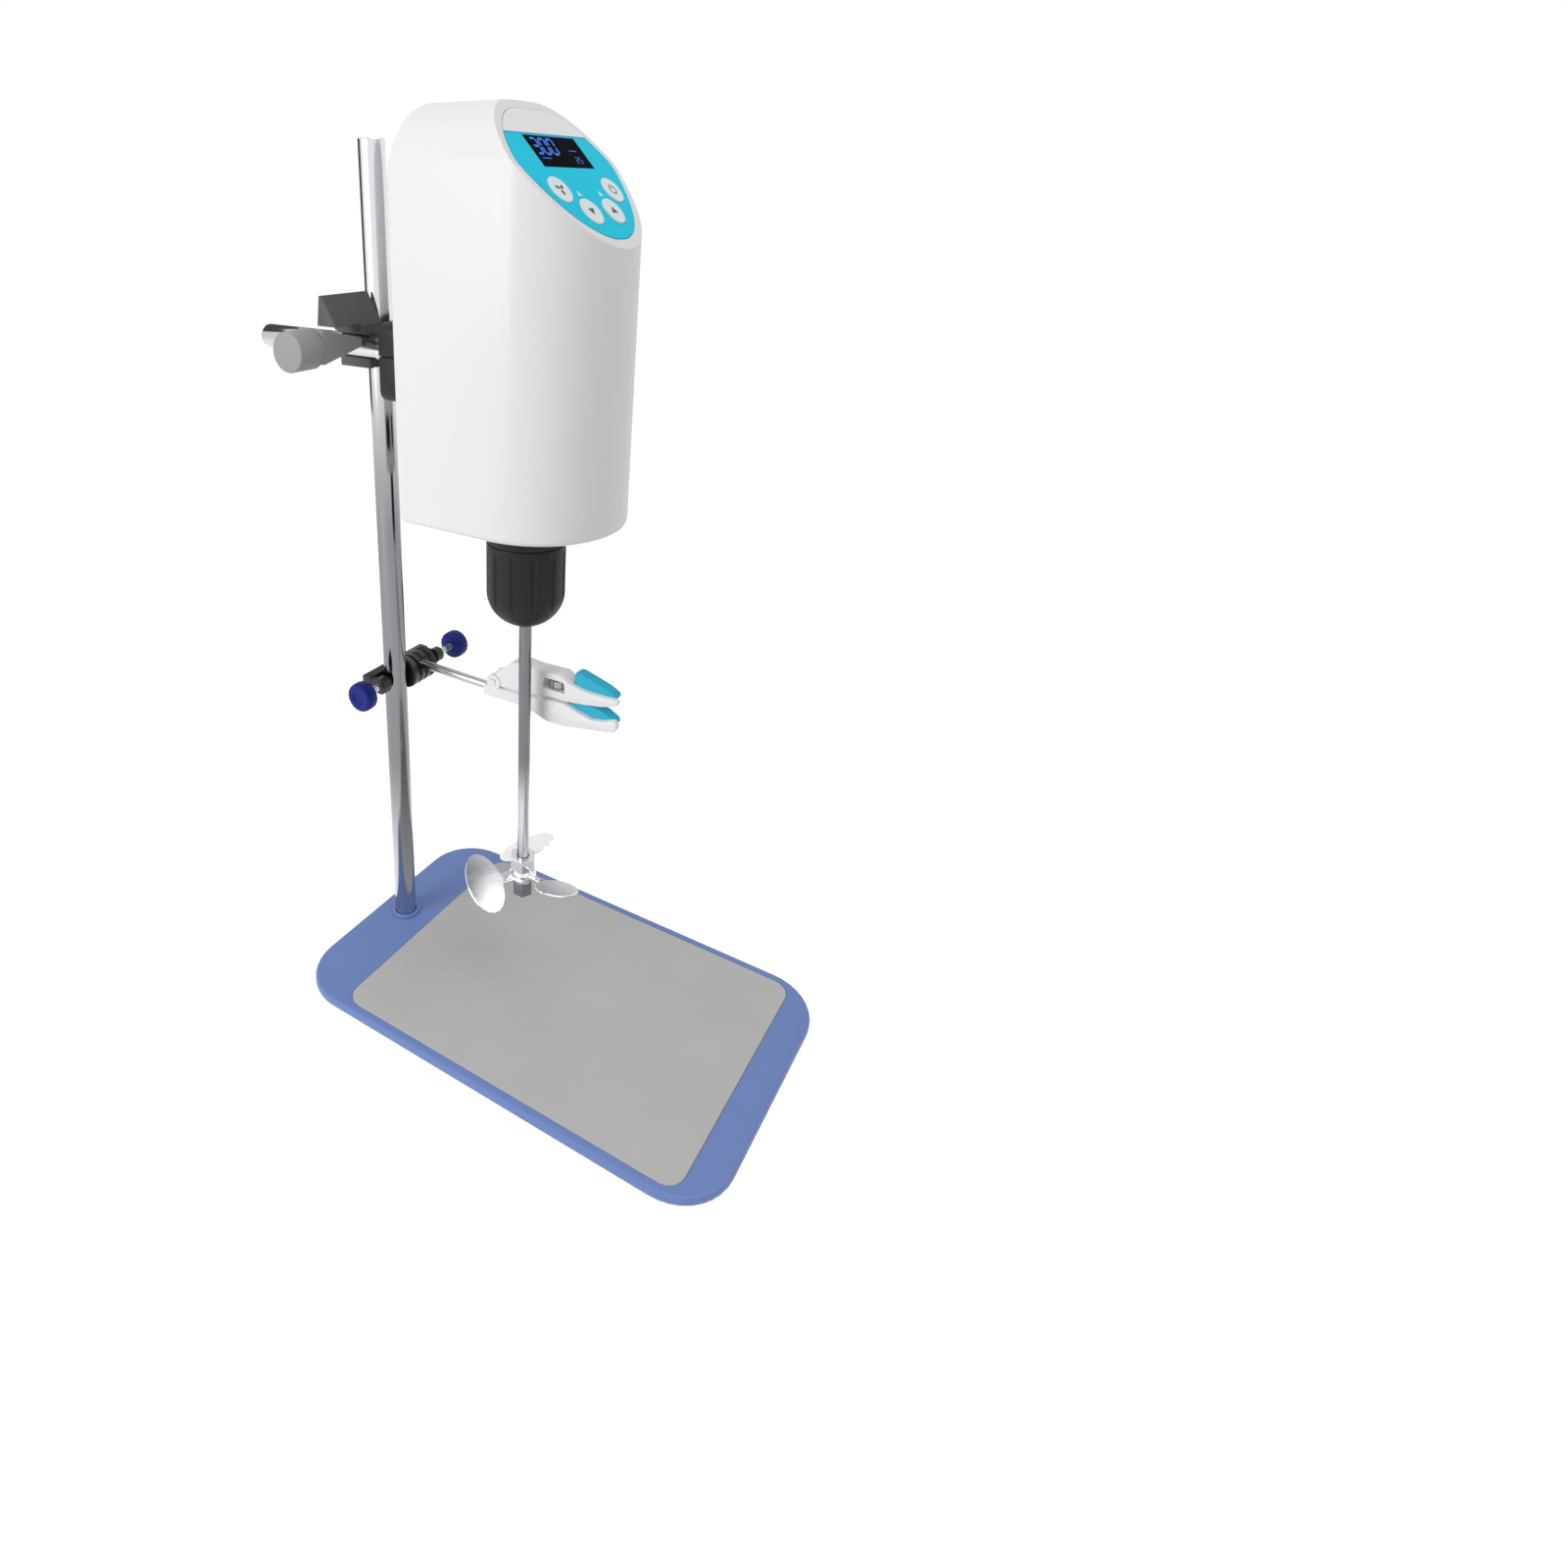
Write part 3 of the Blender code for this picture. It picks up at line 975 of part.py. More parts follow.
def build_clamp():
    left = CLAMP_X - CLAMP_HALF
    right = CLAMP_X + CLAMP_HALF
    pad_in = left + PAD_SIDE + CLEAR
    rod = (CLAMP_X, CLAMP_Z)
    turned("clamp_rod", [(0, column_y + 6), (CLAMP_ROD_RADIUS - 0.5, column_y + 6),
                         (CLAMP_ROD_RADIUS, column_y + 5.5), (CLAMP_ROD_RADIUS, CLAMP_ROD_FRONT),
                         (0, CLAMP_ROD_FRONT)], STEEL, clamp_roll, (CLAMP_X, 0, CLAMP_Z), axis="Y", steps=20)

    lower = prism("clamp_body", body_outline(), left, right, "YZ", WHITE_SHELL, clamp_roll)
    soften(lower, 0.9, 2, 30)
    ear = drum("clamp_ear", CLAMP_EAR, left, right, "X", CLAMP_PIVOT, None, clamp_roll, 24)
    join(lower, ear)
    slot = CLAMP_TONGUE + CLEAR
    cut(lower, drum("tongue_slot", CLAMP_EAR + 1.2, CLAMP_X - slot, CLAMP_X + slot, "X",
                    (CLAMP_PIVOT[0], CLAMP_PIVOT[1] + 1.5), None, clamp_roll, 24))
    cut(lower, block("lower_pad_room", (pad_in - CLEAR, -60, 190), (right + 5, 12.0, 260), None, clamp_roll))
    cut(lower, drum("clamp_rod_seat", CLAMP_ROD_RADIUS + CLEAR, CLAMP_ROD_FRONT - CLEAR, CLAMP_REAR + 5, "Y", rod,
                    None, clamp_roll, 20))
    cut(lower, drum("pin_bore", PIN_RADIUS + CLEAR, left - 5, right + 5, "X", CLAMP_PIVOT, None, clamp_roll, 20))
    drum("clamp_pin", PIN_RADIUS, left - 0.4, right + 0.4, "X", CLAMP_PIVOT, STEEL, clamp_roll, 20)
    lower_pad = prism("lower_pad", [(11.4, 224.6), (11.4, 212.6), (-2.0, 214.6), (-25.0, 219.2), (-27.2, 220.8),
                                    (-26.0, 223.9), (-19.5, 227.3), (-13.1, 229.0), (-6.0, 229.2), (3.0, 227.6)],
                      pad_in, right, "YZ", TEAL_RUBBER, clamp_roll)
    soften(lower_pad, 1.0, 2, 20)

    upper = prism("clamp_jaw", jaw_outline(), left, right, "YZ", WHITE_SHELL, jaw_hinge)
    soften(upper, 0.9, 2, 30)
    for name, a, b in (("left", left - 5, CLAMP_X - CLAMP_TONGUE), ("right", CLAMP_X + CLAMP_TONGUE, right + 5)):
        cut(upper, drum(f"ear_room_{name}", CLAMP_EAR + 0.8, a, b, "X", CLAMP_PIVOT, None, jaw_hinge, 24))
    join(upper, drum("tongue", CLAMP_EAR - 1.2, CLAMP_X - CLAMP_TONGUE, CLAMP_X + CLAMP_TONGUE, "X", CLAMP_PIVOT,
                     None, jaw_hinge, 24))
    cut(upper, drum("tongue_bore", PIN_RADIUS + CLEAR, left, right, "X", CLAMP_PIVOT, None, jaw_hinge, 20))
    cut(upper, block("upper_pad_room", (pad_in - CLEAR, -60, 200), (right + 5, 4.0, 260), None, jaw_hinge))
    window = rounded([(SETTER_Y - 8.4, SETTER_LOW - 1.6, 1), (SETTER_Y + 9.5, SETTER_LOW - 1.6, 1),
                      (SETTER_Y + 7.6, SETTER_HIGH + 0.8, 1), (SETTER_Y - 7.2, SETTER_HIGH + 0.8, 1)], 3)
    cut(upper, prism("setter_window", window, left - 5, right + 5, "YZ", None, jaw_hinge))
    cut(upper, drum("setter_bore", SETTER_RADIUS + CLEAR, 200, SETTER_HIGH + 2.5, "Z", (CLAMP_X, SETTER_Y), None,
                    jaw_hinge, 16))
    upper_pad = prism("upper_pad", [(3.4, 236.7), (3.4, 249.6), (-0.3, 250.1), (-12.4, 246.7), (-20.0, 244.4),
                                    (-25.6, 241.6), (-27.0, 239.2), (-24.0, 236.4), (-8.0, 232.6), (1.5, 231.8)],
                      pad_in, right, "YZ", TEAL_RUBBER, jaw_hinge)
    soften(upper_pad, 1.2, 2, 20)
    tip = 227.1
    setter = [(0, SETTER_HIGH + 2.0), (SETTER_RADIUS, SETTER_HIGH + 2.0), (SETTER_RADIUS, SETTER_HIGH),
              (SETTER_WHEEL - 0.5, SETTER_HIGH), (SETTER_WHEEL, SETTER_HIGH - 0.5), (SETTER_WHEEL, SETTER_LOW + 0.5),
              (SETTER_WHEEL - 0.5, SETTER_LOW), (SETTER_RADIUS, SETTER_LOW), (SETTER_RADIUS, tip), (0, tip)]
    turned("setting_screw", setter, STEEL, setter_turn, (CLAMP_X, SETTER_Y, 0), steps=24)


build_plate()
build_column()
build_housing()
build_panel()
build_drive()
build_chuck()
build_stirrer()
build_support()
build_cross_clamp()
build_back_panel()
build_boss_head()
build_clamp()
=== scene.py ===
# %% [markdown]
# # An overhead stirrer, dressed for its portrait
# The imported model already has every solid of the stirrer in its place. This file gives those
# solids their real surfaces, adds the fine pieces that a solid model leaves out, and sets the
# lamps, the floor and the camera. The frame is loaded first and is never moved.

# %% Load the frame
import json
import math

import bmesh
import bpy
from mathutils import Matrix, Vector


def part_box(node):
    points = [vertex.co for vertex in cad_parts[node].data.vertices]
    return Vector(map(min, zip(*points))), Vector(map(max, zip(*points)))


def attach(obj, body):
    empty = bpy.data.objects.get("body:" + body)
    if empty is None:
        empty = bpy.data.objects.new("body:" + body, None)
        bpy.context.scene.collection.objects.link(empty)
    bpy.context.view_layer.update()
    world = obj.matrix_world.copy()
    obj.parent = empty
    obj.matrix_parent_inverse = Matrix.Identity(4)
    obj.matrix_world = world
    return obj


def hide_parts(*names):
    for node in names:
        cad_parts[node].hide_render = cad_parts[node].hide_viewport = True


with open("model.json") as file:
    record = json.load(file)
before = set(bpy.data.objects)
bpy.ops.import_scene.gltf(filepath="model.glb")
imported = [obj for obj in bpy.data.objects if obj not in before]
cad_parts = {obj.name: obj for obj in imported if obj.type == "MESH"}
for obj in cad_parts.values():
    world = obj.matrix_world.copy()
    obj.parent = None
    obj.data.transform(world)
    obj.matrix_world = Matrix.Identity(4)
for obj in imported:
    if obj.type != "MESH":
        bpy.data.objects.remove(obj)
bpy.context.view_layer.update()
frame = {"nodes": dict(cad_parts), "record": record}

nodes = frame["nodes"]
body_of = {name: body for body, names in frame["record"]["behaviour"]["bodies"].items()
           for name in names}
MM = 0.001


# %% [markdown]
# ## Shader and field maths that reads like Python
# A material or a Geometry Nodes tree is a web of small nodes. Wrapping a socket in a class whose
# operators add Math nodes lets the formulas below look like formulas, in both kinds of tree.

# %% A socket that can be added, multiplied and compared
class Term:
    """A number that flows through a node tree."""

    def __init__(self, tree, socket):
        self.tree = tree
        self.socket = socket

    def math(self, operation, first, second=None):
        node = self.tree.nodes.new("ShaderNodeMath")
        node.operation = operation
        for socket, value in zip(node.inputs, (first, second)):
            if isinstance(value, Term):
                self.tree.links.new(value.socket, socket)
            elif value is not None:
                socket.default_value = value
        return Term(self.tree, node.outputs[0])

    def __add__(self, other):
        return self.math("ADD", self, other)

    def __radd__(self, other):
        return self.math("ADD", other, self)

    def __sub__(self, other):
        return self.math("SUBTRACT", self, other)

    def __rsub__(self, other):
        return self.math("SUBTRACT", other, self)

    def __mul__(self, other):
        return self.math("MULTIPLY", self, other)

    def __rmul__(self, other):
        return self.math("MULTIPLY", other, self)

    def __truediv__(self, other):
        return self.math("DIVIDE", self, other)

    def __rtruediv__(self, other):
        return self.math("DIVIDE", other, self)

    def __lt__(self, other):
        return self.math("LESS_THAN", self, other)

    def __pow__(self, other):
        return self.math("POWER", self, other)


def add_node(tree, kind, settings=None, sockets=None):
    """A node of one kind, its settings set first, then the values or links of its sockets."""
    node = tree.nodes.new(kind)
    for key, value in (settings or {}).items():
        setattr(node, key, value)
    for key, value in (sockets or {}).items():
        socket = node.inputs[key]
        if isinstance(value, Term):
            value = value.socket
        if isinstance(value, bpy.types.NodeSocket):
            tree.links.new(value, socket)
        else:
            socket.default_value = value
    return node


def linear(colour):
    """An 8-bit colour as linear light."""
    return [c / 255 / 12.92 if c <= 10.3 else ((c / 255 + 0.055) / 1.055) ** 2.4
            for c in colour] + [1.0]


print("maths class ready")


# %% [markdown]
# ## One class for every finish
# A real surface is never one flat colour. Each finish here starts from its plain colour and adds
# a slow drift of tone, a finer grain, roughness that varies with both, and a bump of its own
# scale. Patterns are read from object coordinates, in metres, so they keep their real size.

# %% The finish class
class Finish:
    """A material with its plain colour, and helpers for the patterns that lie over it."""

    def __init__(self, name, colour, roughness, metallic=0.0, specular=0.5):
        self.material = bpy.data.materials.new(name)
        self.material.use_nodes = True
        self.tree = self.material.node_tree
        self.shader = self.tree.nodes["Principled BSDF"]
        self.colour = linear(colour)
        self.shader.inputs["Base Color"].default_value = self.colour
        self.shader.inputs["Roughness"].default_value = roughness
        self.shader.inputs["Metallic"].default_value = metallic
        self.shader.inputs["Specular IOR Level"].default_value = specular
        self.place = self.node("ShaderNodeTexCoord").outputs["Object"]
        self.bumps = []

    def node(self, kind, settings=None, sockets=None):
        return add_node(self.tree, kind, settings, sockets)

    def term(self, socket):
        return Term(self.tree, socket)

    def height(self):
        """How high each point is, in metres."""
        return self.term(self.node("ShaderNodeSeparateXYZ", None, {0: self.place}).outputs[2])

    def noise(self, size, detail=3.0, stretch=(1, 1, 1), shift=0.0):
        """Noise with a grain of size millimetres, longer where stretch is larger."""
        mapped = self.node("ShaderNodeMapping", None, {
            "Vector": self.place, "Scale": [1000.0 / size / s for s in stretch],
            "Location": (shift, shift * 2, shift * 3)})
        made = self.node("ShaderNodeTexNoise", None, {
            "Vector": mapped.outputs[0], "Scale": 1.0, "Detail": detail, "Roughness": 0.55})
        return self.term(made.outputs[0])

    def ramp(self, value, low, high):
        """Nought below low, one above high, and smooth between."""
        made = self.node("ShaderNodeMapRange", {"interpolation_type": "SMOOTHSTEP"}, {
            "Value": value, "From Min": low, "From Max": high, "To Min": 0.0, "To Max": 1.0})
        return self.term(made.outputs[0])

    def blend(self, mask, first, second):
        """First colour where the mask is nought, second where it is one."""
        made = self.node("ShaderNodeMix", {"data_type": "RGBA", "blend_type": "MIX"},
                         {0: mask, 6: first, 7: second})
        return made.outputs[2]

    def tint(self, factor):
        """The plain colour made darker or lighter."""
        return [min(c * factor, 1.0) for c in self.colour[:3]] + [1.0]

    def paint(self, colour, roughness=None):
        self.tree.links.new(colour, self.shader.inputs["Base Color"])
        if roughness is not None:
            self.tree.links.new(roughness.socket, self.shader.inputs["Roughness"])

    def second_tone(self, mask, colour):
        """Lays another colour over the one that is painted, where the mask is one."""
        painted = self.shader.inputs["Base Color"].links[0].from_socket
        self.paint(self.blend(mask, painted, linear(colour)))

    def emboss(self, height, millimetres, strength=1.0):
        """Bump from a height between nought and one, as deep as millimetres."""
        bump = self.node("ShaderNodeBump", None, {
            "Height": height, "Distance": millimetres * MM, "Strength": strength})
        if self.bumps:
            self.tree.links.new(self.bumps[-1], bump.inputs["Normal"])
        self.bumps.append(bump.outputs[0])
        self.tree.links.new(bump.outputs[0], self.shader.inputs["Normal"])


print("finish class ready")

# %% Two families: moulded or painted skins, and turned steel
# Sizes of the patterns, in millimetres.
DRIFT_SIZE, RUB_SIZE, DRIFT_DEPTH = 45, 18, 0.05
HAIR_SIZE, HAZE_SIZE, SPOT_SIZE = 0.9, 30, 7
HAIR_ACROSS, HAIR_ALONG = 14.0, 0.5


def moulded(name, colour, roughness, drift=0.05, grain=0.35, depth=0.012, specular=0.5):
    """Moulded or painted skin: slow drift of tone, fine texture, and a few rubbed places."""
    finish = Finish(name, colour, roughness, specular=specular)
    slow = finish.noise(DRIFT_SIZE, 2.0)
    fine = finish.noise(grain, 2.0, shift=3.0)
    rubbed = finish.ramp(finish.noise(RUB_SIZE, 4.0, shift=7.0), 0.60, 0.78)
    shade = finish.blend(slow, finish.tint(1 - drift), finish.tint(1 + drift))
    finish.paint(finish.blend(rubbed * 0.35, shade, finish.tint(1 + 2 * drift)),
                 roughness + (slow - 0.5) * 0.10 + (fine - 0.5) * 0.06 - rubbed * 0.05)
    finish.emboss(fine, depth)
    finish.emboss(slow, DRIFT_DEPTH, 0.15)
    return finish


def turned_steel(name, along, tone=(150, 152, 156), roughness=0.22, hair=0.006):
    """Ground steel: hair lines run round the bar, so the noise is squeezed along its axis."""
    finish = Finish(name, tone, roughness, metallic=1.0)
    stretch = [HAIR_ALONG if axis == along else HAIR_ACROSS for axis in "XYZ"]
    lines = finish.noise(HAIR_SIZE, 3.0, stretch)
    haze = finish.noise(HAZE_SIZE, 3.0, shift=5.0)
    spots = finish.ramp(finish.noise(SPOT_SIZE, 5.0, shift=9.0), 0.64, 0.74)
    shade = finish.blend(lines, finish.tint(0.90), finish.tint(1.06))
    finish.paint(finish.blend(spots * 0.3, shade, finish.tint(0.8)),
                 roughness + (lines - 0.5) * 0.10 + (haze - 0.5) * 0.12 + spots * 0.08)
    finish.emboss(lines, hair, 0.6)
    return finish


print("two families of finish ready")

# %% [markdown]
# ## Paint, plastics, rubber and castings
# The plate is powder-coated steel: its skin has a fine orange peel. The mat is a soft grey
# sheet with a pebbled face, which a Voronoi pattern gives better than noise. The head is a satin
# moulding, and the chuck and the mount are dark moulded plastic.

# %% Skins
SKINS = {
    # key: colour, roughness, drift of tone, grain and depth in mm, specular level
    "blue_paint": ((121, 147, 207), 0.45, 0.03, 0.9, 0.03, 0.25),
    "white_shell": ((243, 243, 244), 0.38, 0.008, 0.5, 0.008, 0.3),
    "white_clamp": ((250, 250, 251), 0.42, 0.015, 0.4, 0.015, 0.3),
    "black_plastic": ((36, 36, 38), 0.46, 0.10, 0.35, 0.02, 0.2),
    "mount_plastic": ((44, 44, 46), 0.50, 0.10, 0.5, 0.03, 0.2),
    "white_key": ((240, 252, 253), 0.40, 0.01, 0.25, 0.006, 0.25),
    "blue_knob": ((22, 40, 126), 0.40, 0.08, 0.3, 0.012, 0.15),
    "black_rubber": ((30, 30, 32), 0.82, 0.12, 0.8, 0.04, 0.5),
    "board_green": ((40, 92, 60), 0.55, 0.10, 1.2, 0.02, 0.5),
    "teal_rubber": ((60, 190, 220), 0.62, 0.05, 0.5, 0.03, 0.15),
    "dark_casting": ((98, 98, 100), 0.56, 0.08, 0.7, 0.05, 0.25),
    "grey_casting": ((162, 162, 163), 0.50, 0.06, 0.6, 0.04, 0.25),
    "black_casting": ((30, 30, 33), 0.34, 0.12, 0.6, 0.04, 0.4),
    "dark_print": ((60, 66, 72), 0.5, 0.08, 0.3, 0.004, 0.5),
    "pale_print": ((206, 244, 250), 0.45, 0.02, 0.3, 0.004, 0.5),
}
skin = {name: moulded(name, *values) for name, values in SKINS.items()}

PEBBLE_SIZE = 1.1
mat_skin = Finish("grey_mat", (201, 201, 200), 0.66, specular=0.2)
pebble = mat_skin.node("ShaderNodeTexVoronoi", {"feature": "SMOOTH_F1"}, {
    "Vector": mat_skin.place, "Scale": 1000 / PEBBLE_SIZE, "Smoothness": 0.6})
mat_drift = mat_skin.noise(60, 3.0)
scuff = mat_skin.ramp(mat_skin.noise(14, 5.0, (1, 5, 1), 4.0), 0.66, 0.80)
mat_tone = mat_skin.blend(mat_drift, mat_skin.tint(0.95), mat_skin.tint(1.05))
mat_skin.paint(mat_skin.blend(scuff * 0.4, mat_tone, mat_skin.tint(1.10)),
               0.62 + mat_drift * 0.10 - scuff * 0.12)
mat_skin.emboss(mat_skin.term(pebble.outputs["Distance"]), 0.05, 0.6)
print("skins:", len(skin) + 1)

# %% [markdown]
# ## Steel, ground, chromed and polished
# Hair lines run round a bar, so each axis has a steel of its own. The chromed rods and nuts are
# smoother and paler than the ground bars. The column is dark through its middle and lighter near
# its top and its foot, a painted reflection, and the stirring shaft is lighter towards its lower
# end: height blends a second tone in.

# %% Steel by the direction of its bar, and the copper inside
steel = {axis: turned_steel("ground_steel_" + axis.lower(), axis) for axis in "XYZ"}
chrome = {axis: turned_steel("chromed_steel_" + axis.lower(), axis, (200, 201, 204), 0.08, 0.001)
          for axis in "XY"}
rod_steel = turned_steel("rod_steel", "Y", (178, 179, 182), 0.10, 0.001)
nut_steel = turned_steel("nut_steel", "Z", (206, 207, 210), 0.12, 0.001)
blade_steel = turned_steel("blade_steel", "Z", (238, 239, 241), 0.18, 0.001)
copper = turned_steel("copper_winding", "Z", (176, 104, 62), 0.34)

# Painted reflection: the column's steel is dark through its middle, and a lighter second tone is
# blended in by height near its top and its foot.
column_steel = turned_steel("column_steel", "Z", (128, 129, 132), 0.15)
column_height = column_steel.height()
column_top_reflection = column_steel.ramp(column_height, 0.31, 0.47)
column_foot_reflection = column_steel.ramp(0.16 - column_height, 0.0, 0.12)
column_steel.second_tone(column_top_reflection + column_foot_reflection * 0.6, (226, 227, 230))

shaft_steel = turned_steel("shaft_steel", "Z", (114, 116, 120), 0.24)
shaft_end = shaft_steel.ramp(0.19 - shaft_steel.height(), 0.0, 0.05)
shaft_steel.second_tone(shaft_end, (204, 205, 208))
METALS = [*steel.values(), *chrome.values(), rod_steel, nut_steel, blade_steel, copper,
          column_steel, shaft_steel]
print("metals:", len(METALS))

# %% [markdown]
# ## The printed film of the control panel
# One film covers the whole panel. Above a straight line it is white, below it teal. The line is
# found in the panel's own direction: the slope distance is a dot product of the place with a
# vector that points up the slope, so the print stays put however the panel leans.

# %% Panel axes and the film
SLOPE = math.radians(46.5)
LIFT = 1.0
PANEL_ORIGIN = Vector((0.0, 10.0, 551.0 + LIFT)) * MM
PANEL_UP = Vector((0.0, math.cos(SLOPE), math.sin(SLOPE)))
PANEL_OUT = Vector((0.0, -math.sin(SLOPE), math.cos(SLOPE)))
PANEL_ACROSS = Vector((1.0, 0.0, 0.0))
PANEL = Matrix([(across, up, out, origin) for across, up, out, origin
                in zip(PANEL_ACROSS, PANEL_UP, PANEL_OUT, PANEL_ORIGIN)] + [(0.0, 0.0, 0.0, 1.0)])
WHITE_ABOVE = 15.0
PRINT_EDGE = 0.12

film = Finish("teal_film", (22, 218, 250), 0.42, specular=0.06)
upward = film.node("ShaderNodeVectorMath", {"operation": "DOT_PRODUCT"},
                   {0: film.place, 1: PANEL_UP})
slope_mm = (film.term(upward.outputs["Value"]) - PANEL_ORIGIN.dot(PANEL_UP)) * 1000
is_white = film.ramp(slope_mm, WHITE_ABOVE - PRINT_EDGE, WHITE_ABOVE + PRINT_EDGE)
is_line = film.ramp(slope_mm, WHITE_ABOVE - 1.3, WHITE_ABOVE - 1.0) * (1 - is_white)
film_fine = film.noise(0.4, 2.0)
film_slow = film.noise(22, 2.0)
teal = film.blend(film_slow, film.tint(0.95), film.tint(1.06))
teal = film.blend(is_line * 0.75, teal, linear((92, 148, 208)))
film.paint(film.blend(is_white, teal, linear((255, 255, 255))),
           0.38 + film_fine * 0.06 + film_slow * 0.06)
film.emboss(film_fine, 0.004)
print("film turns white", WHITE_ABOVE, "mm up the slope")

# %% [markdown]
# ## Display glass and lit figures
# The window is dark and lies at a flat angle to the camera, where ordinary glass would mirror the
# bright room. A coated window mirrors less, and a low index of refraction stands for its coating.
# The figures glow a little, so that they stay legible in bright light.

# %% The display glass and its lit figures
COATED_IOR = 1.16
GLOW = 0.32
glass = Finish("dark_glass", (8, 11, 20), 0.16, specular=0.02)
glass.shader.inputs["IOR"].default_value = COATED_IOR
glass_slow = glass.noise(12, 3.0)
smudge = glass.ramp(glass.noise(5, 4.0, shift=2.0), 0.55, 0.75)
glass.paint(glass.blend(glass_slow, glass.tint(0.8), glass.tint(1.4)), 0.08 + smudge * 0.10)
glass.emboss(glass_slow, 0.01, 0.3)

lit_blue = Finish("lit_figures", (40, 104, 214), 0.4, specular=0.1)
uneven = lit_blue.noise(0.8, 2.0)
lit_tone = lit_blue.blend(uneven, linear((34, 92, 198)), linear((52, 120, 226)))
lit_blue.paint(lit_tone, 0.35 + uneven * 0.1)
lit_blue.tree.links.new(lit_tone, lit_blue.shader.inputs["Emission Color"])
lit_blue.shader.inputs["Emission Strength"].default_value = GLOW
print("display finishes ready")


# %% [markdown]
# ## From solids to pieces
# A solid from the pack is a heap of loose triangles. Where its shape is right, a welded copy
# takes its place: smooth shading then runs over the curves and stops at true edges, and a
# narrow bevel catches the light along those edges, as on any real moulding or machined bar.

# %% Helpers that finish a piece
# Angles in degrees, and the welding distance in metres.
SMOOTH = 32
BEVEL_FROM = 35
FLAT = 0.4
WELD = 0.000004


def to_scene(name, mesh):
    piece = bpy.data.objects.new(name, mesh)
    bpy.context.scene.collection.objects.link(piece)
    return piece


def mesh_piece(name, shape, finish, smooth_angle=SMOOTH):
    mesh = bpy.data.meshes.new(name)
    shape.to_mesh(mesh)
    shape.free()
    mesh.materials.append(finish.material)
    mesh.shade_smooth()
    mesh.set_sharp_from_angle(angle=math.radians(smooth_angle))
    return to_scene(name, mesh)


def bake_modifiers(piece):
    """Turns the live modifiers into plain mesh and drops them."""
    live = piece.evaluated_get(bpy.context.evaluated_depsgraph_get())
    done = bpy.data.meshes.new_from_object(live)
    piece.modifiers.clear()
    old = piece.data
    piece.data = done
    bpy.data.meshes.remove(old)
    return piece


def soften(piece, width):
    bevel = piece.modifiers.new("soft_edge", "BEVEL")
    bevel.width = width * MM
    bevel.segments = 2
    bevel.limit_method = "ANGLE"
    bevel.angle_limit = math.radians(BEVEL_FROM)
    bevel.use_clamp_overlap = True
    bevel.harden_normals = True
    return bake_modifiers(piece)


def stand_for(piece, *names):
    """The piece rides on the body of the solids that it replaces, and those solids are hidden."""
    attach(piece, body_of[names[0]])
    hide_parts(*names)
    return piece


def join_body(piece, node):
    """A fine piece that replaces nothing rides with a node's body."""
    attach(piece, body_of[node])
    return piece


def welded(name, finish, edge=0.0, smooth_angle=SMOOTH):
    """A solid's own shape, welded, with its finish and an edge of so many millimetres."""
    shape = bmesh.new()
    shape.from_mesh(nodes[name].data)
    bmesh.ops.remove_doubles(shape, verts=shape.verts, dist=WELD)
    bmesh.ops.dissolve_limit(shape, angle_limit=math.radians(FLAT), verts=shape.verts,
                             edges=shape.edges)
    piece = mesh_piece("dressed_" + name, shape, finish, smooth_angle)
    if edge:
        soften(piece, edge)
    return stand_for(piece, name)


print("piece helpers ready")

# %% Solids whose own shape is right, with their finish and the width of their edge
DRESSED = {
    "base_plate": (skin["blue_paint"], 0.0), "work_mat": (mat_skin, 0.0),
    "housing_shell": (skin["white_shell"], 0.0), "housing_floor": (skin["black_plastic"], 0.3),
    "panel_fascia": (film, 0.0), "display_window": (glass, 0.1),
    "mount_upper": (skin["mount_plastic"], 0.0), "mount_lower": (skin["mount_plastic"], 0.0),
    "cross_clamp_body": (skin["dark_casting"], 0.0),
    "cross_clamp_arm": (skin["grey_casting"], 0.0),
    "power_inlet": (skin["black_plastic"], 0.2), "switch_frame": (skin["black_plastic"], 0.2),
    "switch_rocker": (skin["black_plastic"], 0.0),
    "boss_head_body": (skin["black_casting"], 0.0),
    "clamp_body": (skin["white_clamp"], 0.0), "clamp_jaw": (skin["white_clamp"], 0.0),
    "lower_pad": (skin["teal_rubber"], 0.0), "upper_pad": (skin["teal_rubber"], 0.0),
    # The lower nut takes the darker ground steel, not chrome like the upper nut: a painted
    # reflection of the grey mat below.
    "upper_nut": (nut_steel, 0.35), "lower_nut": (steel["Z"], 0.35),
    "propeller": (blade_steel, 0.0),
}
for name, (finish, edge) in DRESSED.items():
    welded(name, finish, edge)
print("welded:", len(DRESSED))

# %% Solids that only take a finish, most of them inside the head
PLAIN = {
    "control_board": skin["board_green"], "motor_can": skin["dark_casting"],
    "motor_windings": copper, "rotor": skin["dark_casting"], "spindle": steel["Z"],
    "bearing_lower": steel["Z"], "bearing_upper": steel["Z"], "column_screw": steel["Z"],
    "chuck_jaw_1": steel["Z"], "chuck_jaw_2": steel["Z"], "chuck_jaw_3": steel["Z"],
    "foot_front_left": skin["black_rubber"], "foot_front_right": skin["black_rubber"],
    "foot_back_left": skin["black_rubber"], "foot_back_right": skin["black_rubber"],
    "clamp_pin": skin["white_clamp"], "rod_screw": steel["X"], "lock_screw": steel["X"],
}
for name, finish in PLAIN.items():
    mesh = nodes[name].data
    mesh.materials.clear()
    mesh.materials.append(finish.material)
print("plain:", len(PLAIN))


# %% [markdown]
# ## Round pieces, turned again with a finer step
# The bars, the grips and the chuck are bodies of revolution. Turning them again with more
# steps costs little and gives a clean outline at any distance. Their sizes are read from the
# solids' own boxes, so that they fit whatever the model says.

